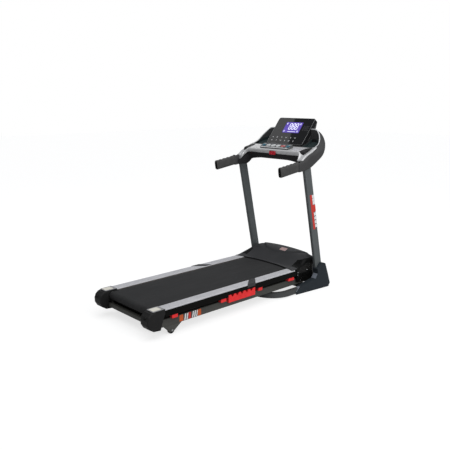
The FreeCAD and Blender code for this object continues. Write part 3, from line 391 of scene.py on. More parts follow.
def display_glass():
    """Black glass with a faint smear that barely softens its reflection."""
    g = Graph("display_glass")
    smear = g.noise(4.0, 4.0, (1.0, 0.3, 1.0))
    base = g.mix(g.remap(smear, 0.0, 1.0), (0.005, 0.005, 0.006), (0.007, 0.007, 0.008))
    return g.finish(base, g.remap(smear, 0.02, 0.05), Specular_IOR_Level=0.5)


def make_materials():
    """Every finish: first the slots that the CAD nodes use, then the extras of new pieces."""
    paint("base_steel", painted("base_coat", (0.050, 0.052, 0.053), 0.5, 0.1))
    paint("zinc_steel", steel("zinc_plate", (0.62, 0.63, 0.64), 0.30))
    paint("upright_paint", painted("upright_coat", (0.098, 0.108, 0.111), 0.40, 0.35))
    paint("foot_plastic", moulded("foot_shell", (0.020, 0.0255, 0.031), 0.48))
    paint("rubber_black", rubber("foot_rubber", (0.018, 0.018, 0.018)))
    paint("yoke_plastic", moulded("yoke_shell", (0.056, 0.056, 0.057), 0.45))
    paint("tray_plastic", moulded("tray_shell", (0.020, 0.020, 0.021), 0.5))
    paint("silver_plastic", moulded("silver_shell", (0.60, 0.605, 0.61), 0.34, 0.05, shine=0.4,
                                    Metallic=0.35))
    paint("teal_plastic", moulded("bottle_tray", (0.022, 0.034, 0.036), 0.5))
    paint("display_plastic", display_shell())
    paint("display_pane", display_glass())
    paint("lcd", moulded("lcd_cell", (0.10, 0.06, 0.52), 0.25, strength=0.02, worn=0.0))
    paint("keypad_plastic", moulded("keypad_shell", (0.115, 0.118, 0.122), 0.30, 0.05, Metallic=0.3))
    paint("grip_foam", rubber("grip_foam", (0.066, 0.066, 0.065), 0.88, 1300.0, 0.8))
    paint("collar_plastic", moulded("collar_gloss", (0.003, 0.003, 0.003), 0.3, strength=0.05, worn=0.0,
                                    shine=0.03))
    paint("socket_plastic", moulded("socket_shell", (0.03, 0.03, 0.03), 0.5))
    paint("deck_steel", painted("deck_coat", (0.060, 0.060, 0.055), 0.5, 0.1))
    paint("board", moulded("board_face", (0.05, 0.042, 0.036), 0.35))
    paint("belt", belt_material())
    paint("rail_plastic", moulded("rail_skin", (0.0045, 0.0045, 0.004), 0.5, worn=0.0, shine=0.06))
    paint("strip_plastic", moulded("strip_skin", (0.450, 0.450, 0.470), 0.52))
    paint("joiner_plastic", moulded("joiner_skin", (0.040, 0.040, 0.042), 0.5))
    paint("cap_plastic", moulded("cap_skin", (0.015, 0.015, 0.015), 0.40))
    paint("red_elastomer", rubber("red_elastomer", (0.86, 0.036, 0.038), 0.5, 500.0, 0.2, 0.02))
    paint("motor_steel", painted("motor_coat", (0.03, 0.03, 0.033), 0.4))
    paint("drive_rubber", rubber("drive_rubber", (0.02, 0.02, 0.02)))
    paint("circuit", moulded("circuit_board", (0.03, 0.14, 0.06), 0.4))
    paint("hood_plastic", moulded("hood_skin", (0.036, 0.0365, 0.039), 0.40))
    paint("panel_plastic", moulded("panel_skin", (0.004, 0.004, 0.004), 0.5, worn=0.0, shine=0.03))
    paint("inlet_plastic", moulded("inlet_skin", (0.02, 0.02, 0.02), 0.45))
    paint("roller_steel", steel("roller_steel", (0.58, 0.59, 0.60), 0.25, (0.02, 1, 1)))
    paint("rotor_iron", steel("rotor_iron", (0.32, 0.32, 0.33), 0.4))
    paint("wheel_rubber", rubber("wheel_rubber", (0.014, 0.014, 0.015), 0.5))
    paint("strut_paint", painted("strut_coat", (0.02, 0.02, 0.021), 0.25))
    paint("strut_chrome", steel("strut_chrome", (0.72, 0.73, 0.75), 0.10))
    paint("red_plastic", moulded("red_gloss", (0.55, 0.012, 0.03), 0.22, strength=0.08, Coat_Weight=0.3))
    paint("rocker_plastic", moulded("rocker_gloss", (0.50, 0.012, 0.015), 0.25, strength=0.05))
    paint("breaker_plastic", moulded("breaker_skin", (0.03, 0.03, 0.03), 0.4))
    paint("key_white", moulded("key_white", (0.50, 0.52, 0.52), 0.35))
    paint("key_red", moulded("key_red", (0.42, 0.10, 0.10), 0.35))
    paint("key_teal", moulded("key_teal", (0.030, 0.12, 0.17), 0.3))
    EXTRA["rim"] = moulded("satin_rim", (0.24, 0.245, 0.25), 0.30, 0.05, Metallic=0.5)
    EXTRA["bright"] = moulded("bright_edge", (0.62, 0.63, 0.64), 0.28, 0.05, Metallic=0.3)
    EXTRA["lcd_on"] = lamp_colour("lcd_backlight", (0.100, 0.065, 0.36), 0.55)
    EXTRA["lcd_white"] = lamp_colour("lcd_segments", (0.80, 0.80, 0.95), 0.75)
    EXTRA["print_white"] = moulded("white_print", (0.78, 0.79, 0.80), 0.45, 0.05, strength=0.05)
    EXTRA["print_grey"] = moulded("grey_print", (0.10, 0.10, 0.105), 0.45, 0.05, strength=0.05)
    # Painted shade: a near-black finish for plates that stand for the shade inside the display vents and the
    # bolt holes.
    EXTRA["black_matt"] = moulded("vent_shadow", (0.010, 0.010, 0.010), 0.6)
    EXTRA["gloss_black"] = moulded("gloss_side", (0.004, 0.004, 0.004), 0.22, strength=0.05, worn=0.0,
                                   shine=0.12)
    EXTRA["fin"] = moulded("gloss_fin", (0.026, 0.025, 0.024), 0.2, strength=0.05, shine=0.3)
    # Painted highlight: pale grey for the tops of the black end caps, where the light falls on them.
    EXTRA["cap_top"] = moulded("cap_top_skin", (0.27, 0.27, 0.28), 0.5, 0.06)
    EXTRA["badge"] = moulded("badge_face", (0.44, 0.30, 0.29), 0.3, 0.1, strength=0.05)
    # Painted highlight: a lighter copy of the foot cover's blue for its faces that turn up and back.
    EXTRA["facet"] = moulded("foot_facet", (0.18, 0.20, 0.235), 0.34)
    EXTRA["cream"] = moulded("cream_pad", (0.66, 0.64, 0.57), 0.5, 0.06)
    EXTRA["orange"] = moulded("orange_stripe", (0.52, 0.10, 0.030), 0.4, 0.05, strength=0.05)
    EXTRA["stripe_red"] = moulded("red_stripe", (0.55, 0.045, 0.035), 0.4, 0.05, strength=0.05)


def dress_nodes():
    """Give every CAD node the finish of its own slot."""
    slots = {part["node"]: part["material_slot"] for part in frame["record"]["subparts"]}
    for name, node in nodes.items():
        node.data.materials.clear()
        node.data.materials.append(MATERIALS[slots[name]])


# ---------------------------------------------------------------- mesh helpers

def smoothstep(a, b, x):
    t = max(0.0, min(1.0, (x - a) / (b - a)))
    return t * t * (3.0 - 2.0 * t)


def along(table, x):
    """Straight-line reading of a short table of (x, value) pairs."""
    if x <= table[0][0]:
        return table[0][1]
    for (x0, v0), (x1, v1) in zip(table, table[1:]):
        if x <= x1:
            return v0 + (v1 - v0) * (x - x0) / (x1 - x0)
    return table[-1][1]


def piece(name, verts, faces, slot, body, replaces=(), smooth=40, subdivide=0, bevel=0.0,
          material=None):
    """One new piece from points in millimetres, riding on a body."""
    mesh = bpy.data.meshes.new(name)
    mesh.from_pydata([P(*v) for v in verts], [], faces)
    work = bmesh.new()
    work.from_mesh(mesh)
    bmesh.ops.remove_doubles(work, verts=work.verts, dist=1e-5)
    bmesh.ops.recalc_face_normals(work, faces=work.faces)
    work.to_mesh(mesh)
    work.free()
    obj = bpy.data.objects.new(name, mesh)
    scene.collection.objects.link(obj)
    mesh.materials.append(material or MATERIALS[slot])
    if bevel:
        mod = obj.modifiers.new("soft_edges", "BEVEL")
        mod.width = bevel / 1000.0
        mod.segments = 3
        mod.limit_method = "ANGLE"
        mod.angle_limit = math.radians(32)
    if subdivide:
        mod = obj.modifiers.new("subdivide", "SUBSURF")
        mod.levels = subdivide
        mod.render_levels = subdivide
    if smooth:
        mesh.polygons.foreach_set("use_smooth", [True] * len(mesh.polygons))
        if not subdivide:
            mesh.set_sharp_from_angle(angle=math.radians(smooth))
    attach(obj, body)
    if replaces:
        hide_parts(*replaces)
    return obj


def loft(rings, closed=True, caps=True):
    """Points and faces of a skin over rings with the same number of points."""
    n = len(rings[0])
    verts = [p for ring in rings for p in ring]
    faces = []
    for i in range(len(rings) - 1):
        for j in range(n if closed else n - 1):
            k = (j + 1) % n
            faces.append((i * n + j, i * n + k, (i + 1) * n + k, (i + 1) * n + j))
    if caps:
        faces.append(tuple(range(n)))
        faces.append(tuple((len(rings) - 1) * n + j for j in reversed(range(n))))
    return verts, faces


def joined(parts):
    verts, faces = [], []
    for v, f in parts:
        base = len(verts)
        verts += v
        faces += [tuple(i + base for i in face) for face in f]
    return verts, faces


def flipped(rings):
    """The same rings on the other side of the middle."""
    return [[(-x, y, z) for x, y, z in ring] for ring in rings]


def circle(place, r, count):
    """Ring of points round a centre, where place turns the two offsets into a point."""
    turns = [2 * math.pi * k / count for k in range(count)]
    return [place(r * math.cos(a), r * math.sin(a)) for a in turns]


def mirrored(part):
    verts, faces = part
    return [(-x, y, z) for x, y, z in verts], [tuple(reversed(f)) for f in faces]


def both_sides(part):
    return joined([part, mirrored(part)])


# ---------------------------------------------------------------- console

# Heights (y, z) of the hoop's inner ridge and of its lower edge.
RIDGE = [(470, 1040), (540, 1043), (594, 1080), (633, 1101), (683, 1123), (711, 1137), (743, 1148),
         (768, 1171), (797, 1209), (814, 1235), (824, 1264)]
KEEL = [(480, 962), (560, 970), (619, 986), (665, 1011), (700, 1032), (745, 1057), (800, 1096),
        (840, 1136), (870, 1168)]


def hoop_stations():
    """Plan points (outer, inner, turn) from the right arm's front to the middle of the back."""
    out = []
    inner_x, inner_turn = HOOP_X - HOOP_WALL, HOOP_TURN - HOOP_WALL
    cx, cy = HOOP_X - HOOP_TURN, HOOP_BACK - HOOP_TURN
    for y in (478, 500, 530, 560, 594, 625, 660, 695, 730):
        out.append(((HOOP_X, y), (inner_x, y), 0.0))
    for i in range(1, 9):
        a = math.radians(90 * i / 8)
        outer = (cx + HOOP_TURN * math.cos(a), cy + HOOP_TURN * math.sin(a))
        inner = (cx + inner_turn * math.cos(a), cy + inner_turn * math.sin(a))
        out.append((outer, inner, i / 8))
    for x in (185, 130, 70, 0):
        out.append(((x, HOOP_BACK), (x, HOOP_BACK - HOOP_WALL), 1.0))
    return out


def make_yoke():
    """Plastic hoop round the console: a rounded section swept along both arms and the back."""
    rings = []
    for outer, inner, turn in hoop_stations():
        ridge = along(RIDGE, inner[1])
        if turn == 0.0:
            drop = 8 + 22 * smoothstep(560, 730, outer[1])
        else:
            drop = 30 + 8 * math.sin(math.pi * min(1.0, turn * 1.25)) - 8 * turn
        low_out = along(KEEL, outer[1])
        low_in = low_out - 2
        edge = ridge - drop
        ring = []
        for f, z in ((0.10, low_out - 3), (0.015, low_out + 5), (-0.045, low_out + 0.35 * (edge - low_out)),
                     (-0.05, low_out + 0.7 * (edge - low_out)), (-0.01, edge - 7), (0.10, edge + 1),
                     (0.5, edge + 0.55 * drop), (0.90, ridge - 1), (0.985, ridge - 4), (1.0, ridge - 14),
                     (1.0, low_in + 10), (0.97, low_in + 2), (0.88, low_in - 1)):
            ring.append((outer[0] + (inner[0] - outer[0]) * f, outer[1] + (inner[1] - outer[1]) * f, z))
        rings.append(ring)
    verts, faces = loft(rings + list(reversed(flipped(rings[:-1]))))
    piece("console_hoop", verts, faces, "yoke_plastic", "base", ["console_yoke"], subdivide=2)


def make_ridge_trim():
    """Bright bead along the hoop's inner ridge."""
    rings = []
    for outer, inner, _ in hoop_stations()[6:]:
        dx, dy = outer[0] - inner[0], outer[1] - inner[1]
        z = along(RIDGE, inner[1])
        ring = []
        for f, h in ((-0.04, -9), (-0.05, -2), (0.0, 2.0), (0.10, 2.5), (0.17, 0.5), (0.10, -6)):
            ring.append((inner[0] + dx * f, inner[1] + dy * f, z + h))
        rings.append(ring)
    verts, faces = loft(rings + list(reversed(flipped(rings[:-1]))))
    piece("ridge_trim", verts, faces, "silver_plastic", "base", ["tray_trim"], subdivide=2,
          material=EXTRA["bright"])


# Plan (x, y) of the tray's front edge, and height (y, z) of the pads beside it.
FRONT_EDGE = [(0, 583), (262, 583), (274, 581), (284, 576), (292, 566), (297, 556), (299.5, 547),
              (301, 537), (312, 532), (352, 530)]
PAD_TOP = [(528, 1030), (533, 1040), (551, 1058), (569, 1074), (594, 1086), (620, 1096), (643, 1104),
           (690, 1128), (720, 1140)]


def deck_height(x, y):
    """Top of the bright tray, which blends into the lower pads towards both arms."""
    plain = 1104 + 0.222 * (y - 583)
    return plain + (along(PAD_TOP, y) - plain) * smoothstep(262, 312, abs(x))


def make_bezel():
    """Bright skin: top of the tray, the rounded front band and the pads that run down to the handles."""
    columns = [0, 40, 80, 120, 160, 200, 235, 262, 274, 284, 292, 297, 299.5, 300.5, 312, 326, 338, 346, 351]
    rings = []
    for x in columns:
        yf = along(FRONT_EDGE, x)
        zt = deck_height(x, yf)
        back = 692 if x < 318 else 712
        arm = smoothstep(285, 301, x)
        bulge = 0.0 if x > 301 else 1.0
        band = 33 - 5 * arm
        roll = 5.0 * smoothstep(338, 351, x) ** 2
        top = []
        for f in (1.0, 0.8, 0.6, 0.42, 0.27, 0.15, 0.07, 0.02):
            y = yf + (back - yf) * f
            top.append((x, y, deck_height(x, y) + 1.6 - roll))
        lip = []
        for inset, dy, down in ((0.0, -1, 1), (1.5, -5 * bulge, 6), (3.0, -7 * bulge, 0.45 * band),
                                (3.0, -6 * bulge, 0.75 * band), (1.5, -1.5, band), (0.0, 3, band)):
            lip.append((x - inset * arm, yf + dy, zt - down))
        inner = [(x, yf + 4, zt - 0.5 * band), (x, yf + 6, zt - 6)]
        under = []
        for f in (0.10, 0.3, 0.6, 1.0):
            y = yf + 6 + (back - yf - 6) * f
            under.append((x, y, deck_height(x, y) - 2.5 - roll))
        rings.append(top + lip + inner + under)
    verts, faces = loft(list(reversed(flipped(rings[1:]))) + rings)
    piece("console_bezel", verts, faces, "silver_plastic", "base", ["tray_deck"], subdivide=2)


def make_apron():
    """Dark recessed face below the band, arched along its lower edge and swept into both arms."""
    columns = [0, 50, 100, 150, 200, 240, 264, 276, 286, 294, 299, 301.5, 302.5]
    rings = []
    for x in columns:
        yf = along(FRONT_EDGE, x) + 7
        if x > 299:
            yf = along([(299, 540), (301.5, 520), (302.5, 500)], x)
        top = deck_height(x, yf - 4) - 24
        low = max(968, 1034 - 0.00031 * x * x - 42 * smoothstep(255, 302, x))
        rings.append([(x, yf, top), (x, yf + 1.5, 0.5 * (top + low)), (x, yf + 4, low + 8), (x, yf + 10, low),
                      (x, yf + 30, low + 1), (x, yf + 40, low + 12), (x, yf + 42, top)])
    verts, faces = loft(list(reversed(flipped(rings[1:]))) + rings)
    piece("console_apron", verts, faces, "tray_plastic", "base", subdivide=2)


# ---------------------------------------------------------------- display, keypad

def on_display(x, depth, along_face):
    """Station point from a place on the display: across, behind the glass, up the face."""
    cy, cz = DISPLAY_DIR
    return (x, DISPLAY_LOW[0] + along_face * cy + depth * cz, DISPLAY_LOW[1] + along_face * cz - depth * cy)


def on_keypad(x, depth, along_face):
    """Station point from a place on the keypad: across, into it, up the slope."""
    a = math.radians(KEYPAD_SLOPE)
    return (x, KEYPAD_LOW[0] + along_face * math.cos(a) + depth * math.sin(a),
            KEYPAD_LOW[1] + along_face * math.sin(a) - depth * math.cos(a))


def rounded(x0, x1, s0, s1, r, steps=5):
    """Outline of a rectangle with round corners."""
    pts = []
    corners = ((x1 - r, s1 - r), (x0 + r, s1 - r), (x0 + r, s0 + r), (x1 - r, s0 + r))
    for quarter, (cx, cs) in enumerate(corners):
        for i in range(steps + 1):
            a = math.radians(90 * quarter + 90 * i / steps)
            pts.append((cx + r * math.cos(a), cs + r * math.sin(a)))
    return pts


def slab(outline, d0, d1, place):
    """A plate with the given outline between two depths of a placed face."""
    return loft([[place(u, d0, v) for u, v in outline], [place(u, d1, v) for u, v in outline]])


def ring_slab(outer, inner, d0, d1, place):
    """A frame between two outlines, from one depth of a placed face to another."""
    rings = []
    for line, d in ((outer, d1), (outer, d0), (inner, d0), (inner, d1), (outer, d1)):
        rings.append([place(u, d, v) for u, v in line])
    return loft(rings, caps=False)


# Ends of the seven bars of a lit figure, on a square of side one.
SEGMENTS = [((0, 1), (1, 1)), ((1, 1), (1, 0.5)), ((1, 0.5), (1, 0)), ((0, 0), (1, 0)),
            ((0, 0.5), (0, 0)), ((0, 1), (0, 0.5)), ((0, 0.5), (1, 0.5))]


def digit(x, s, w, h, bar):
    """Bars of a seven-segment eight as thin plates."""
    parts = []
    for (ax, ay), (bx, by) in SEGMENTS:
        x0, s0, x1, s1 = x + ax * w, s + ay * h, x + bx * w, s + by * h
        gap = bar * 0.65
        if s0 == s1:
            line = [(x0 + gap, s0 - bar / 2), (x1 - gap, s0 - bar / 2), (x1 - gap * 0.4, s0),
                    (x1 - gap, s0 + bar / 2), (x0 + gap, s0 + bar / 2), (x0 + gap * 0.4, s0)]
        else:
            low, high = min(s0, s1), max(s0, s1)
            line = [(x0 - bar / 2, low + gap), (x0, low + gap * 0.4), (x0 + bar / 2, low + gap),
                    (x0 + bar / 2, high - gap), (x0, high - gap * 0.4), (x0 - bar / 2, high - gap)]
        parts.append(slab(line, 0.02, 0.2, on_display))
    return parts


def mark(x0, x1, s0, s1, r):
    """A short printed bar on the glass."""
    return slab(rounded(x0, x1, s0, s1, r, 2), 0.5, 1.0, on_display)


def make_display():
    """Satin rim, black glass, lit cell with its figures, printed marks, and vents in the rear cover drawn as
    near-black plates of painted shade.
    """
    rim = 1.8
    outer = rounded(-DISPLAY_HALF, DISPLAY_HALF, DISPLAY_FOOT, DISPLAY_HEAD, 17)
    pane = rounded(-DISPLAY_HALF + rim, DISPLAY_HALF - rim, DISPLAY_FOOT + rim, DISPLAY_HEAD - rim, 15.5)
    piece("display_rim", *ring_slab(outer, pane, 0.3, 4.0, on_display), "silver_plastic", "base", bevel=0.4,
          material=EXTRA["rim"])
    piece("display_glass", *slab(pane, 0.8, 3.4, on_display), "display_pane", "base", ["display_lens"],
          bevel=0.6)
    piece("display_lcd", *slab(rounded(-82, 92, 113, 217, 3), 0.3, 1.2, on_display), "lcd", "base",
          ["lcd_module"], material=EXTRA["lcd_on"])
    figures = []
    for i in range(3):
        figures += digit(-33 + 33 * i, 146, 21, 58, 6.4)
    for x in (-72, 68):
        for s in (194, 122):
            figures += digit(x, s, 9, 14, 2.4)
    figures.append(slab([(-30, 122), (52, 122), (52, 126), (-30, 126)], 0.02, 0.2, on_display))
    piece("display_figures", *joined(figures), "lcd", "base", material=EXTRA["lcd_white"], smooth=0)
    marks = []
    for row, centres in ((64, (-150, -105, -55, -8, 40, 85)), (33, (-146, -100, -52, -7, 36, 81))):
        for i, x in enumerate(centres):
            w = 9 if (i + row) % 2 else 6
            marks.append(mark(x - w, x + w, row + 1, row + 4, 1.4))
            marks.append(mark(x - w * 0.55, x + w * 0.55, row - 5, row - 3, 0.9))
    piece("touch_marks", *joined(marks), "display_pane", "base", material=EXTRA["print_white"], smooth=0)
    lines = []
    for i in range(5):
        s = 184 - 10 * i
        lines.append(mark(114, 126, s - 1.3, s + 1.3, 1.0))
        lines.append(mark(131, 176 - 6 * (i % 2), s - 1.0, s + 1.0, 0.9))
        lines.append(mark(-166, -128 + 5 * (i % 3), s - 1.0, s + 1.0, 0.9))
    piece("panel_lines", *joined(lines), "display_pane", "base", material=EXTRA["print_grey"], smooth=0)
    vents = []
    for i in range(9):
        s = 88 + 12 * i
        vents.append(slab(rounded(-130, 130, s, s + 4, 1.9, 3), 55.4, 56.6, on_display))
    piece("display_vents", *joined(vents), "display_plastic", "base", material=EXTRA["black_matt"])


def make_keypad():
    """Satin rim and bright front lip of the keypad, and plain marks round its keys."""
    outer = rounded(-152.6, 152.6, 0.4, 63.6, 7)
    front = ring_slab(outer, rounded(-149.5, 149.5, 3.5, 60.5, 5.5), -0.9, 2.0, on_keypad)
    piece("keypad_rim", *front, "keypad_plastic", "base", bevel=0.5, material=EXTRA["rim"])
    edge = slab(rounded(-146, 146, -0.9, 8.5, 3, 3), -1.0, 1.0, on_keypad)
    piece("keypad_lip", *edge, "keypad_plastic", "base", bevel=0.5, material=EXTRA["bright"])
    marks = []
    for x, w in ((-78, 20), (-26, 24), (26, 22), (78, 20)):
        for s in (17, 47):
            marks.append(slab(rounded(x - w / 2, x + w / 2, s, s + 3.2, 1.2, 2), -0.35, 0.4, on_keypad))
    for x in (-128, 128):
        marks.append(slab(rounded(x - 12, x + 12, 8.5, 11, 1, 2), -0.35, 0.4, on_keypad))
        marks.append(slab(rounded(x - 12, x + 12, 52, 54.5, 1, 2), -0.35, 0.4, on_keypad))
    piece("keypad_marks", *joined(marks), "keypad_plastic", "base", material=EXTRA["print_white"], smooth=0)


# ---------------------------------------------------------------- handles

def on_grip(x, s, h):
    """Station point from a place along the right handle: across, along the axis, up."""
    dy, dz = GRIP_ROOT[0] - GRIP_TIP[0], GRIP_ROOT[1] - GRIP_TIP[1]
    n = math.hypot(dy, dz)
    cy, cz = dy / n, dz / n
    return (GRIP_X + x, GRIP_TIP[0] + s * cy - h * cz, GRIP_TIP[1] + s * cz + h * cy)


def grip_ring(s, w, top, low=None, count=32, power=3.4):
    """Rounded oblong section of a handle: half width, and its height above and below the axis."""
    low = top if low is None else low
    ring = []
    for i in range(count):
        a = 2 * math.pi * i / count
        c, d = math.cos(a), math.sin(a)
        u = math.copysign(abs(c) ** (2 / power), c) * w
        v = math.copysign(abs(d) ** (2 / power), d) * (top if d > 0 else low)
        ring.append(on_grip(u, s, v))
    return ring


def make_grips():
    """Foam grips with shallow finger waves, the gloss rings behind them and the discs in their tips."""
    rings = []
    for s, k in ((0.0, 0.45), (0.8, 0.72), (3.0, 0.90), (7.0, 0.985), (12.0, 1.0)):
        shrink = 14 * (1 - k)
        rings.append(grip_ring(s, GRIP_W - shrink, GRIP_H - 1.2 * shrink))
    for i in range(1, 49):
        s = 12 + 190 * i / 48
        fade = smoothstep(14, 40, s) * (1 - smoothstep(176, 200, s))
        wave = 1.7 * (1 + math.cos(2 * math.pi * (s - 31) / 42.0)) * fade
        rings.append(grip_ring(s, GRIP_W - 0.25 * wave, GRIP_H - wave, GRIP_H))
    rings.append(grip_ring(203.6, 16.8, 37.2))
    verts, faces = loft(rings)
    for side, name, stands_for in ((1, "grip_right", ["grips"]), (-1, "grip_left", [])):
        placed = [(side * x, y, z) for x, y, z in verts]
        grip = piece(name, placed, faces, "grip_foam", "base", stands_for, subdivide=1)
    rings = []
    for s, less in ((204.4, 2.5), (205.2, 0.8), (207.0, 0.0), (213.0, 0.0), (214.8, 0.8), (215.6, 2.5)):
        rings.append(grip_ring(s, 20 - less, 41 - less))
    piece("handle_rings", *both_sides(loft(rings)), "collar_plastic", "base", ["handle_collars"], subdivide=1)
    rings = [grip_ring(-1.2, 9, 27), grip_ring(-1.2, 10.5, 29), grip_ring(0.6, 11.5, 30.5)]
    piece("grip_end_caps", *both_sides(loft(rings)), "collar_plastic", "base", bevel=0.6)


# ---------------------------------------------------------------- motor hood

def hood_rear(x):
    """Rear edge of the hood over the belt, bowed backwards towards both sides."""
    u = abs(x) / HOOD_X
    return 535.0 - 48.0 * u ** 2.2


def island_edge(x):
    """Rear edge of the raised middle of the hood: a deep bow that meets the crest near both ends."""
    return 752.0 - 105.0 * max(0.0, 1.0 - (x / 225.0) ** 2) ** 0.8


def hood_height(x, y):
    """Hood without its raised middle: a sloping rise to the crest, then a round fall to the front."""
    u = abs(x) / HOOD_X
    crest = 281.5 - 22.0 * u ** 2 - 32.0 * u ** 10
    if y > CREST_Y:
        s = (y - CREST_Y) / (HOOD_FRONT - CREST_Y)
        return crest - (crest - 205.0) * s ** 2.2
    rear = hood_rear(x)
    t = max(0.0, min(1.0, (y - rear) / (CREST_Y - rear)))
    rise = math.sin(t * math.pi / 2) ** (1.25 + 0.55 * u)
    return HOOD_LOW + (crest - HOOD_LOW) * rise


def island_lift(x, y):
    """How far the raised middle stands above the rest of the hood."""
    across = 1 - smoothstep(226, 232, abs(x))
    return 6.5 * smoothstep(-3, 3, y - island_edge(x)) * across * (1 - smoothstep(800, 816, y))


def hood_top(x, y):
    return hood_height(x, y) + island_lift(x, y)


def make_hood():
    """Thin moulded hood with a rounded rear lip and side walls, and a plain badge on it."""
    shoulder = [HOOD_X, 317.4, 315.5, 312, 306, 298]
    columns = [-x for x in shoulder] + [-290 + 5.8 * i for i in range(101)] + shoulder[::-1]
    slope, nose, lip = 44, 22, 20.0
    rows = []
    for x in columns:
        rear = hood_rear(x)
        row = [(x, rear + 3.0, HOOD_LOW), (x, rear + 0.6, HOOD_LOW + 0.4), (x, rear, HOOD_LOW + 1.6)]
        ys = [rear + (CREST_Y - rear) * (i / slope) ** 1.15 for i in range(1, slope + 1)]
        ys += [CREST_Y + (HOOD_FRONT - CREST_Y) * i / nose for i in range(1, nose + 1)]
        for y in ys:
            bead = 1.2 * max(0.0, 1 - (y - rear) / lip)
            row.append((x, min(y, HOOD_FRONT - 0.4), hood_top(x, y) + bead))
        row += [(x, HOOD_FRONT, z) for z in (198, 186, 168, 151)]
        rows.append(row)
    verts, faces = loft(rows, closed=False, caps=False)
    n = len(rows[0])
    # Side walls from the shoulder down to the side panels.
    for side, first in ((1, (len(rows) - 1) * n), (-1, 0)):
        base = len(verts)
        row = verts[first:first + n]
        verts += [(side * HOOD_X, y, 149.5 if y > PANEL_BACK else HOOD_LOW + 0.2) for _, y, _ in row]
        for j in range(n - 1):
            faces.append((first + j, first + j + 1, base + j + 1, base + j))
    hood = piece("hood_shell", verts, faces, "hood_plastic", "deck", ["motor_hood"], smooth=50)
    thick = hood.modifiers.new("wall", "SOLIDIFY")
    thick.thickness = 0.003
    thick.offset = -1.0
    outline = rounded(16, 80, 668, 706, 8)
    badge = [[(x, y, hood_top(x, y) + lift) for x, y in outline] for lift in (1.2, -1.0)]
    piece("hood_badge", *loft(badge), "hood_plastic", "deck", bevel=0.5, material=EXTRA["badge"])


# Height (y, z) of the black side panel's edge where it meets the shoulder of the hood.
SIDE_ARCH = [(545, 188), (557, 204), (612, 231), (677, 246), (736, 247), (780, 236), (812, 214), (826, 190)]


def shoulder_x(y):
    """How far out the hood surface drops to the panel's edge."""
    x = HOOD_X
    while x > 250.0 and hood_height(x, y) < along(SIDE_ARCH, y):
        x -= 0.5
    return x


def make_side_panels():
    """Arched gloss panels wrapped over the hood's shoulders, with slanted fins and two screws each."""
    foot, face = 151.0, 319.2
    rings = []
    for i in range(57):
        y = PANEL_BACK + 5 * i
        inner = shoulder_x(y)
        ring = []
        for k in range(9):
            x = inner + (318.6 - inner) * (k / 8) ** 0.6
            ring.append((x, y, hood_height(min(x, HOOD_X), y) + 0.9))
        edge = ring[-1][2] - 2.0
        ring += [(face, y, edge - (edge - foot) * k / 6) for k in range(7)]
        ring += [(317.0, y, foot + 0.5), (317.0, y, edge - 2.0)]
        rings.append(ring)
    piece("hood_sides", *both_sides(loft(rings)), "panel_plastic", "deck", material=EXTRA["gloss_black"])
    fins = []
    low, wide = 155, 4
    for i in range(12):
        y = 566 + 17 * i
        top = hood_height(HOOD_X, y + 24) - 8
        if top < 168:
            continue
        lean = 0.5 * (top - low)
        line = [(y, low), (y + wide, low), (y + wide + lean, top), (y + lean, top)]
        fins.append(loft([[(x, a, b) for a, b in line] for x in (318.9, 320.2)]))
    piece("hood_fins", *both_sides(joined(fins)), "panel_plastic", "deck", bevel=0.3, material=EXTRA["fin"])
    screws = []
    for y, z in ((557, 162), (664, 166)):
        head = ((4.6, 319.0), (4.6, 320.4), (3.6, 321.0), (1.6, 321.0), (1.2, 320.2))
        screws.append(loft([circle(lambda a, b: (x, y + a, z + b), r, 18) for r, x in head]))
    piece("hood_screws", *both_sides(joined(screws)), "zinc_steel", "deck")


# ---------------------------------------------------------------- foot covers

def make_foot_details():
    """Pale facets on the step and on the rounded tip of each foot cover, following its side profile; their
    paleness is a painted highlight where these faces turn up and back towards the light.
    """
    step, tip = [(708, 92), (733, 128)], [(501.5, 21.3), (510, 34), (541, 58.1)]
    facets = []
    for line, x0, x1 in ((step, 333, 376), (tip, 333, 357)):
        rows = []
        for i, (y, z) in enumerate(line):
            a, b = line[max(0, i - 1)], line[min(len(line) - 1, i + 1)]
            n = math.hypot(b[0] - a[0], b[1] - a[1])
            ny, nz = -(b[1] - a[1]) / n, (b[0] - a[0]) / n
            rows.append([(x, y + d * ny, z + d * nz) for x, d in ((x0, 1), (x1, 1), (x1, -2), (x0, -2))])
        facets.append(both_sides(loft(rows)))
    piece("foot_facets", *joined(facets), "foot_plastic", "base", bevel=0.5, material=EXTRA["facet"])


# ---------------------------------------------------------------- deck details

def make_cap_details():
    """Top plate of each end cap, pale as a painted highlight of the light falling on its top, and the cream
    pad of each end cap.
    """
    def flat(u, d, v):
        return (u, v, d)

    # The pale top plates are a painted highlight on the black caps.
    tops = both_sides(slab(rounded(245, 318, -834, -742, 9), 191.3, 189.0, flat))
    piece("cap_tops", *tops, "cap_plastic", "deck", bevel=0.8, material=EXTRA["cap_top"])
    pads = both_sides(slab(rounded(256, 308, -826, -762, 6, 4), 192.4, 190.2, flat))
    piece("cap_pads", *pads, "cap_plastic", "deck", bevel=0.5, material=EXTRA["cream"])


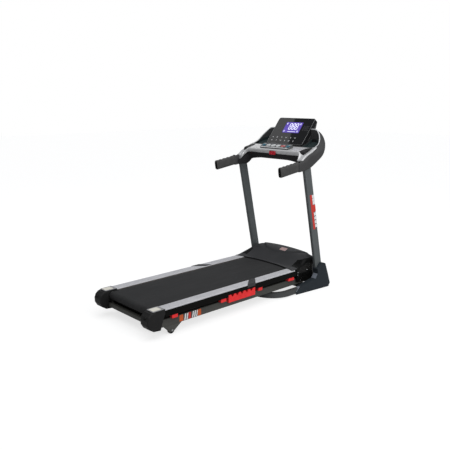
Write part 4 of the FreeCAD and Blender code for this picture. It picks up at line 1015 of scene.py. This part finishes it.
def make_gap_shades():
    """Ribbed near-black sheets under both rails and across the rear, below the belt: painted shade standing
    for the shadowed gaps there.
    """
    rail_shade = []
    for i in range(65):
        y = -740 + 1278 * i / 64
        x = 286.5 if i % 2 else 285.0
        rail_shade.append([(x, y, 110.5), (x + 2, y, 110.5), (x + 2, y, 135.5), (x, y, 135.5)])
    # Painted shade: near-black sheets in the gaps under both rails.
    piece("rail_gap_shades", *both_sides(loft(rail_shade)), "rail_plastic", "deck", smooth=0)
    # Painted shade: a near-black sheet across the rear gap between the roller and the crossbar.
    rear_shade = []
    under_belt = 1000.0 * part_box("running_belt")[0][2] - 1.5
    for i in range(41):
        x = -240 + 12 * i
        y = -774.8 if i % 2 else -776.0
        rear_shade.append([(x, y, 74), (x, y + 2, 74), (x, y + 2, under_belt), (x, y, under_belt)])
    piece("rear_gap_shade", *loft(rear_shade), "rail_plastic", "deck", smooth=0)


def make_bolt_wells():
    """Wells of the tension bolts in the rear faces of the end caps, near-black with painted shade for the
    inside of the holes.
    """
    low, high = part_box("tension_bolts")
    axis_z = 500.0 * (low[2] + high[2])
    well = []
    for r, y in ((7.6, -874.0), (7.6, -880.6), (6.0, -880.8), (5.5, -880.0)):
        well.append(circle(lambda a, b: (288 + a, y, axis_z + b), r, 24))
    # Painted shade: the near-black plugs stand for the shade inside the bolt holes.
    piece("bolt_wells", *both_sides(loft(well)), "cap_plastic", "deck", material=EXTRA["black_matt"])


def on_tube(u, d, v):
    return (TUBE_X + 0.55 - d, u, v)


def tube_bars(name, spans, slant, material):
    """Bars of one colour on the outside of both deck tubes, with their tops leaning forwards by slant."""
    parts = []
    for a, b in spans:
        line = [(a, 64.5), (b, 64.5), (b + slant, 108.5), (a + slant, 108.5)]
        parts.append(both_sides(slab(line, 0.0, 0.5, on_tube)))
    piece(name, *joined(parts), "deck_steel", "deck", material=material, smooth=0)


def make_tube_stripes():
    white = ((-572, -562), (-554, -544), (-506, -496), (-488, -478), (-470, -462))
    tube_bars("tube_stripes_orange", ((-612, -580), (-456, -426)), 0, EXTRA["orange"])
    tube_bars("tube_stripes_white", white, 8, EXTRA["print_white"])
    tube_bars("tube_stripe_red", ((-536, -514),), 0, EXTRA["stripe_red"])


def upright_strip(z0, z1, f0, f1, lift):
    """Thin block on both uprights' outer faces, from f0 to f1 in front of their centre line."""
    lean = (UPRIGHT_HEAD[0] - UPRIGHT_FOOT[0]) / (UPRIGHT_HEAD[1] - UPRIGHT_FOOT[1])
    rings = []
    for x in (UPRIGHT_FACE - 0.2, UPRIGHT_FACE + lift):
        ring = []
        for z, f in ((z0, f0), (z0, f1), (z1, f1), (z1, f0)):
            centre = UPRIGHT_FOOT[0] + (z - UPRIGHT_FOOT[1]) * lean
            ring.append((x, centre + f, z - f * lean))
        rings.append(ring)
    return both_sides(loft(rings))


def make_upright_stripes():
    red = [upright_strip(498, 776, -15, 8, 0.5), upright_strip(635, 690, 8, 35, 0.5)]
    white = [upright_strip(z, z + 24, 9, 35, 0.55) for z in (746, 720, 694, 604, 572, 540, 508)]
    for name, parts, finish in (("upright_stripes_red", red, "stripe_red"),
                                ("upright_stripes_white", white, "print_white")):
        piece(name, *joined(parts), "upright_paint", "base", material=EXTRA[finish], smooth=0)


make_camera()
make_light()
make_floor()
make_materials()
dress_nodes()
make_yoke()
make_ridge_trim()
make_bezel()
make_apron()
make_display()
make_keypad()
make_grips()
make_hood()
make_side_panels()
make_foot_details()
make_cap_details()
make_gap_shades()
make_bolt_wells()
make_tube_stripes()
make_upright_stripes()
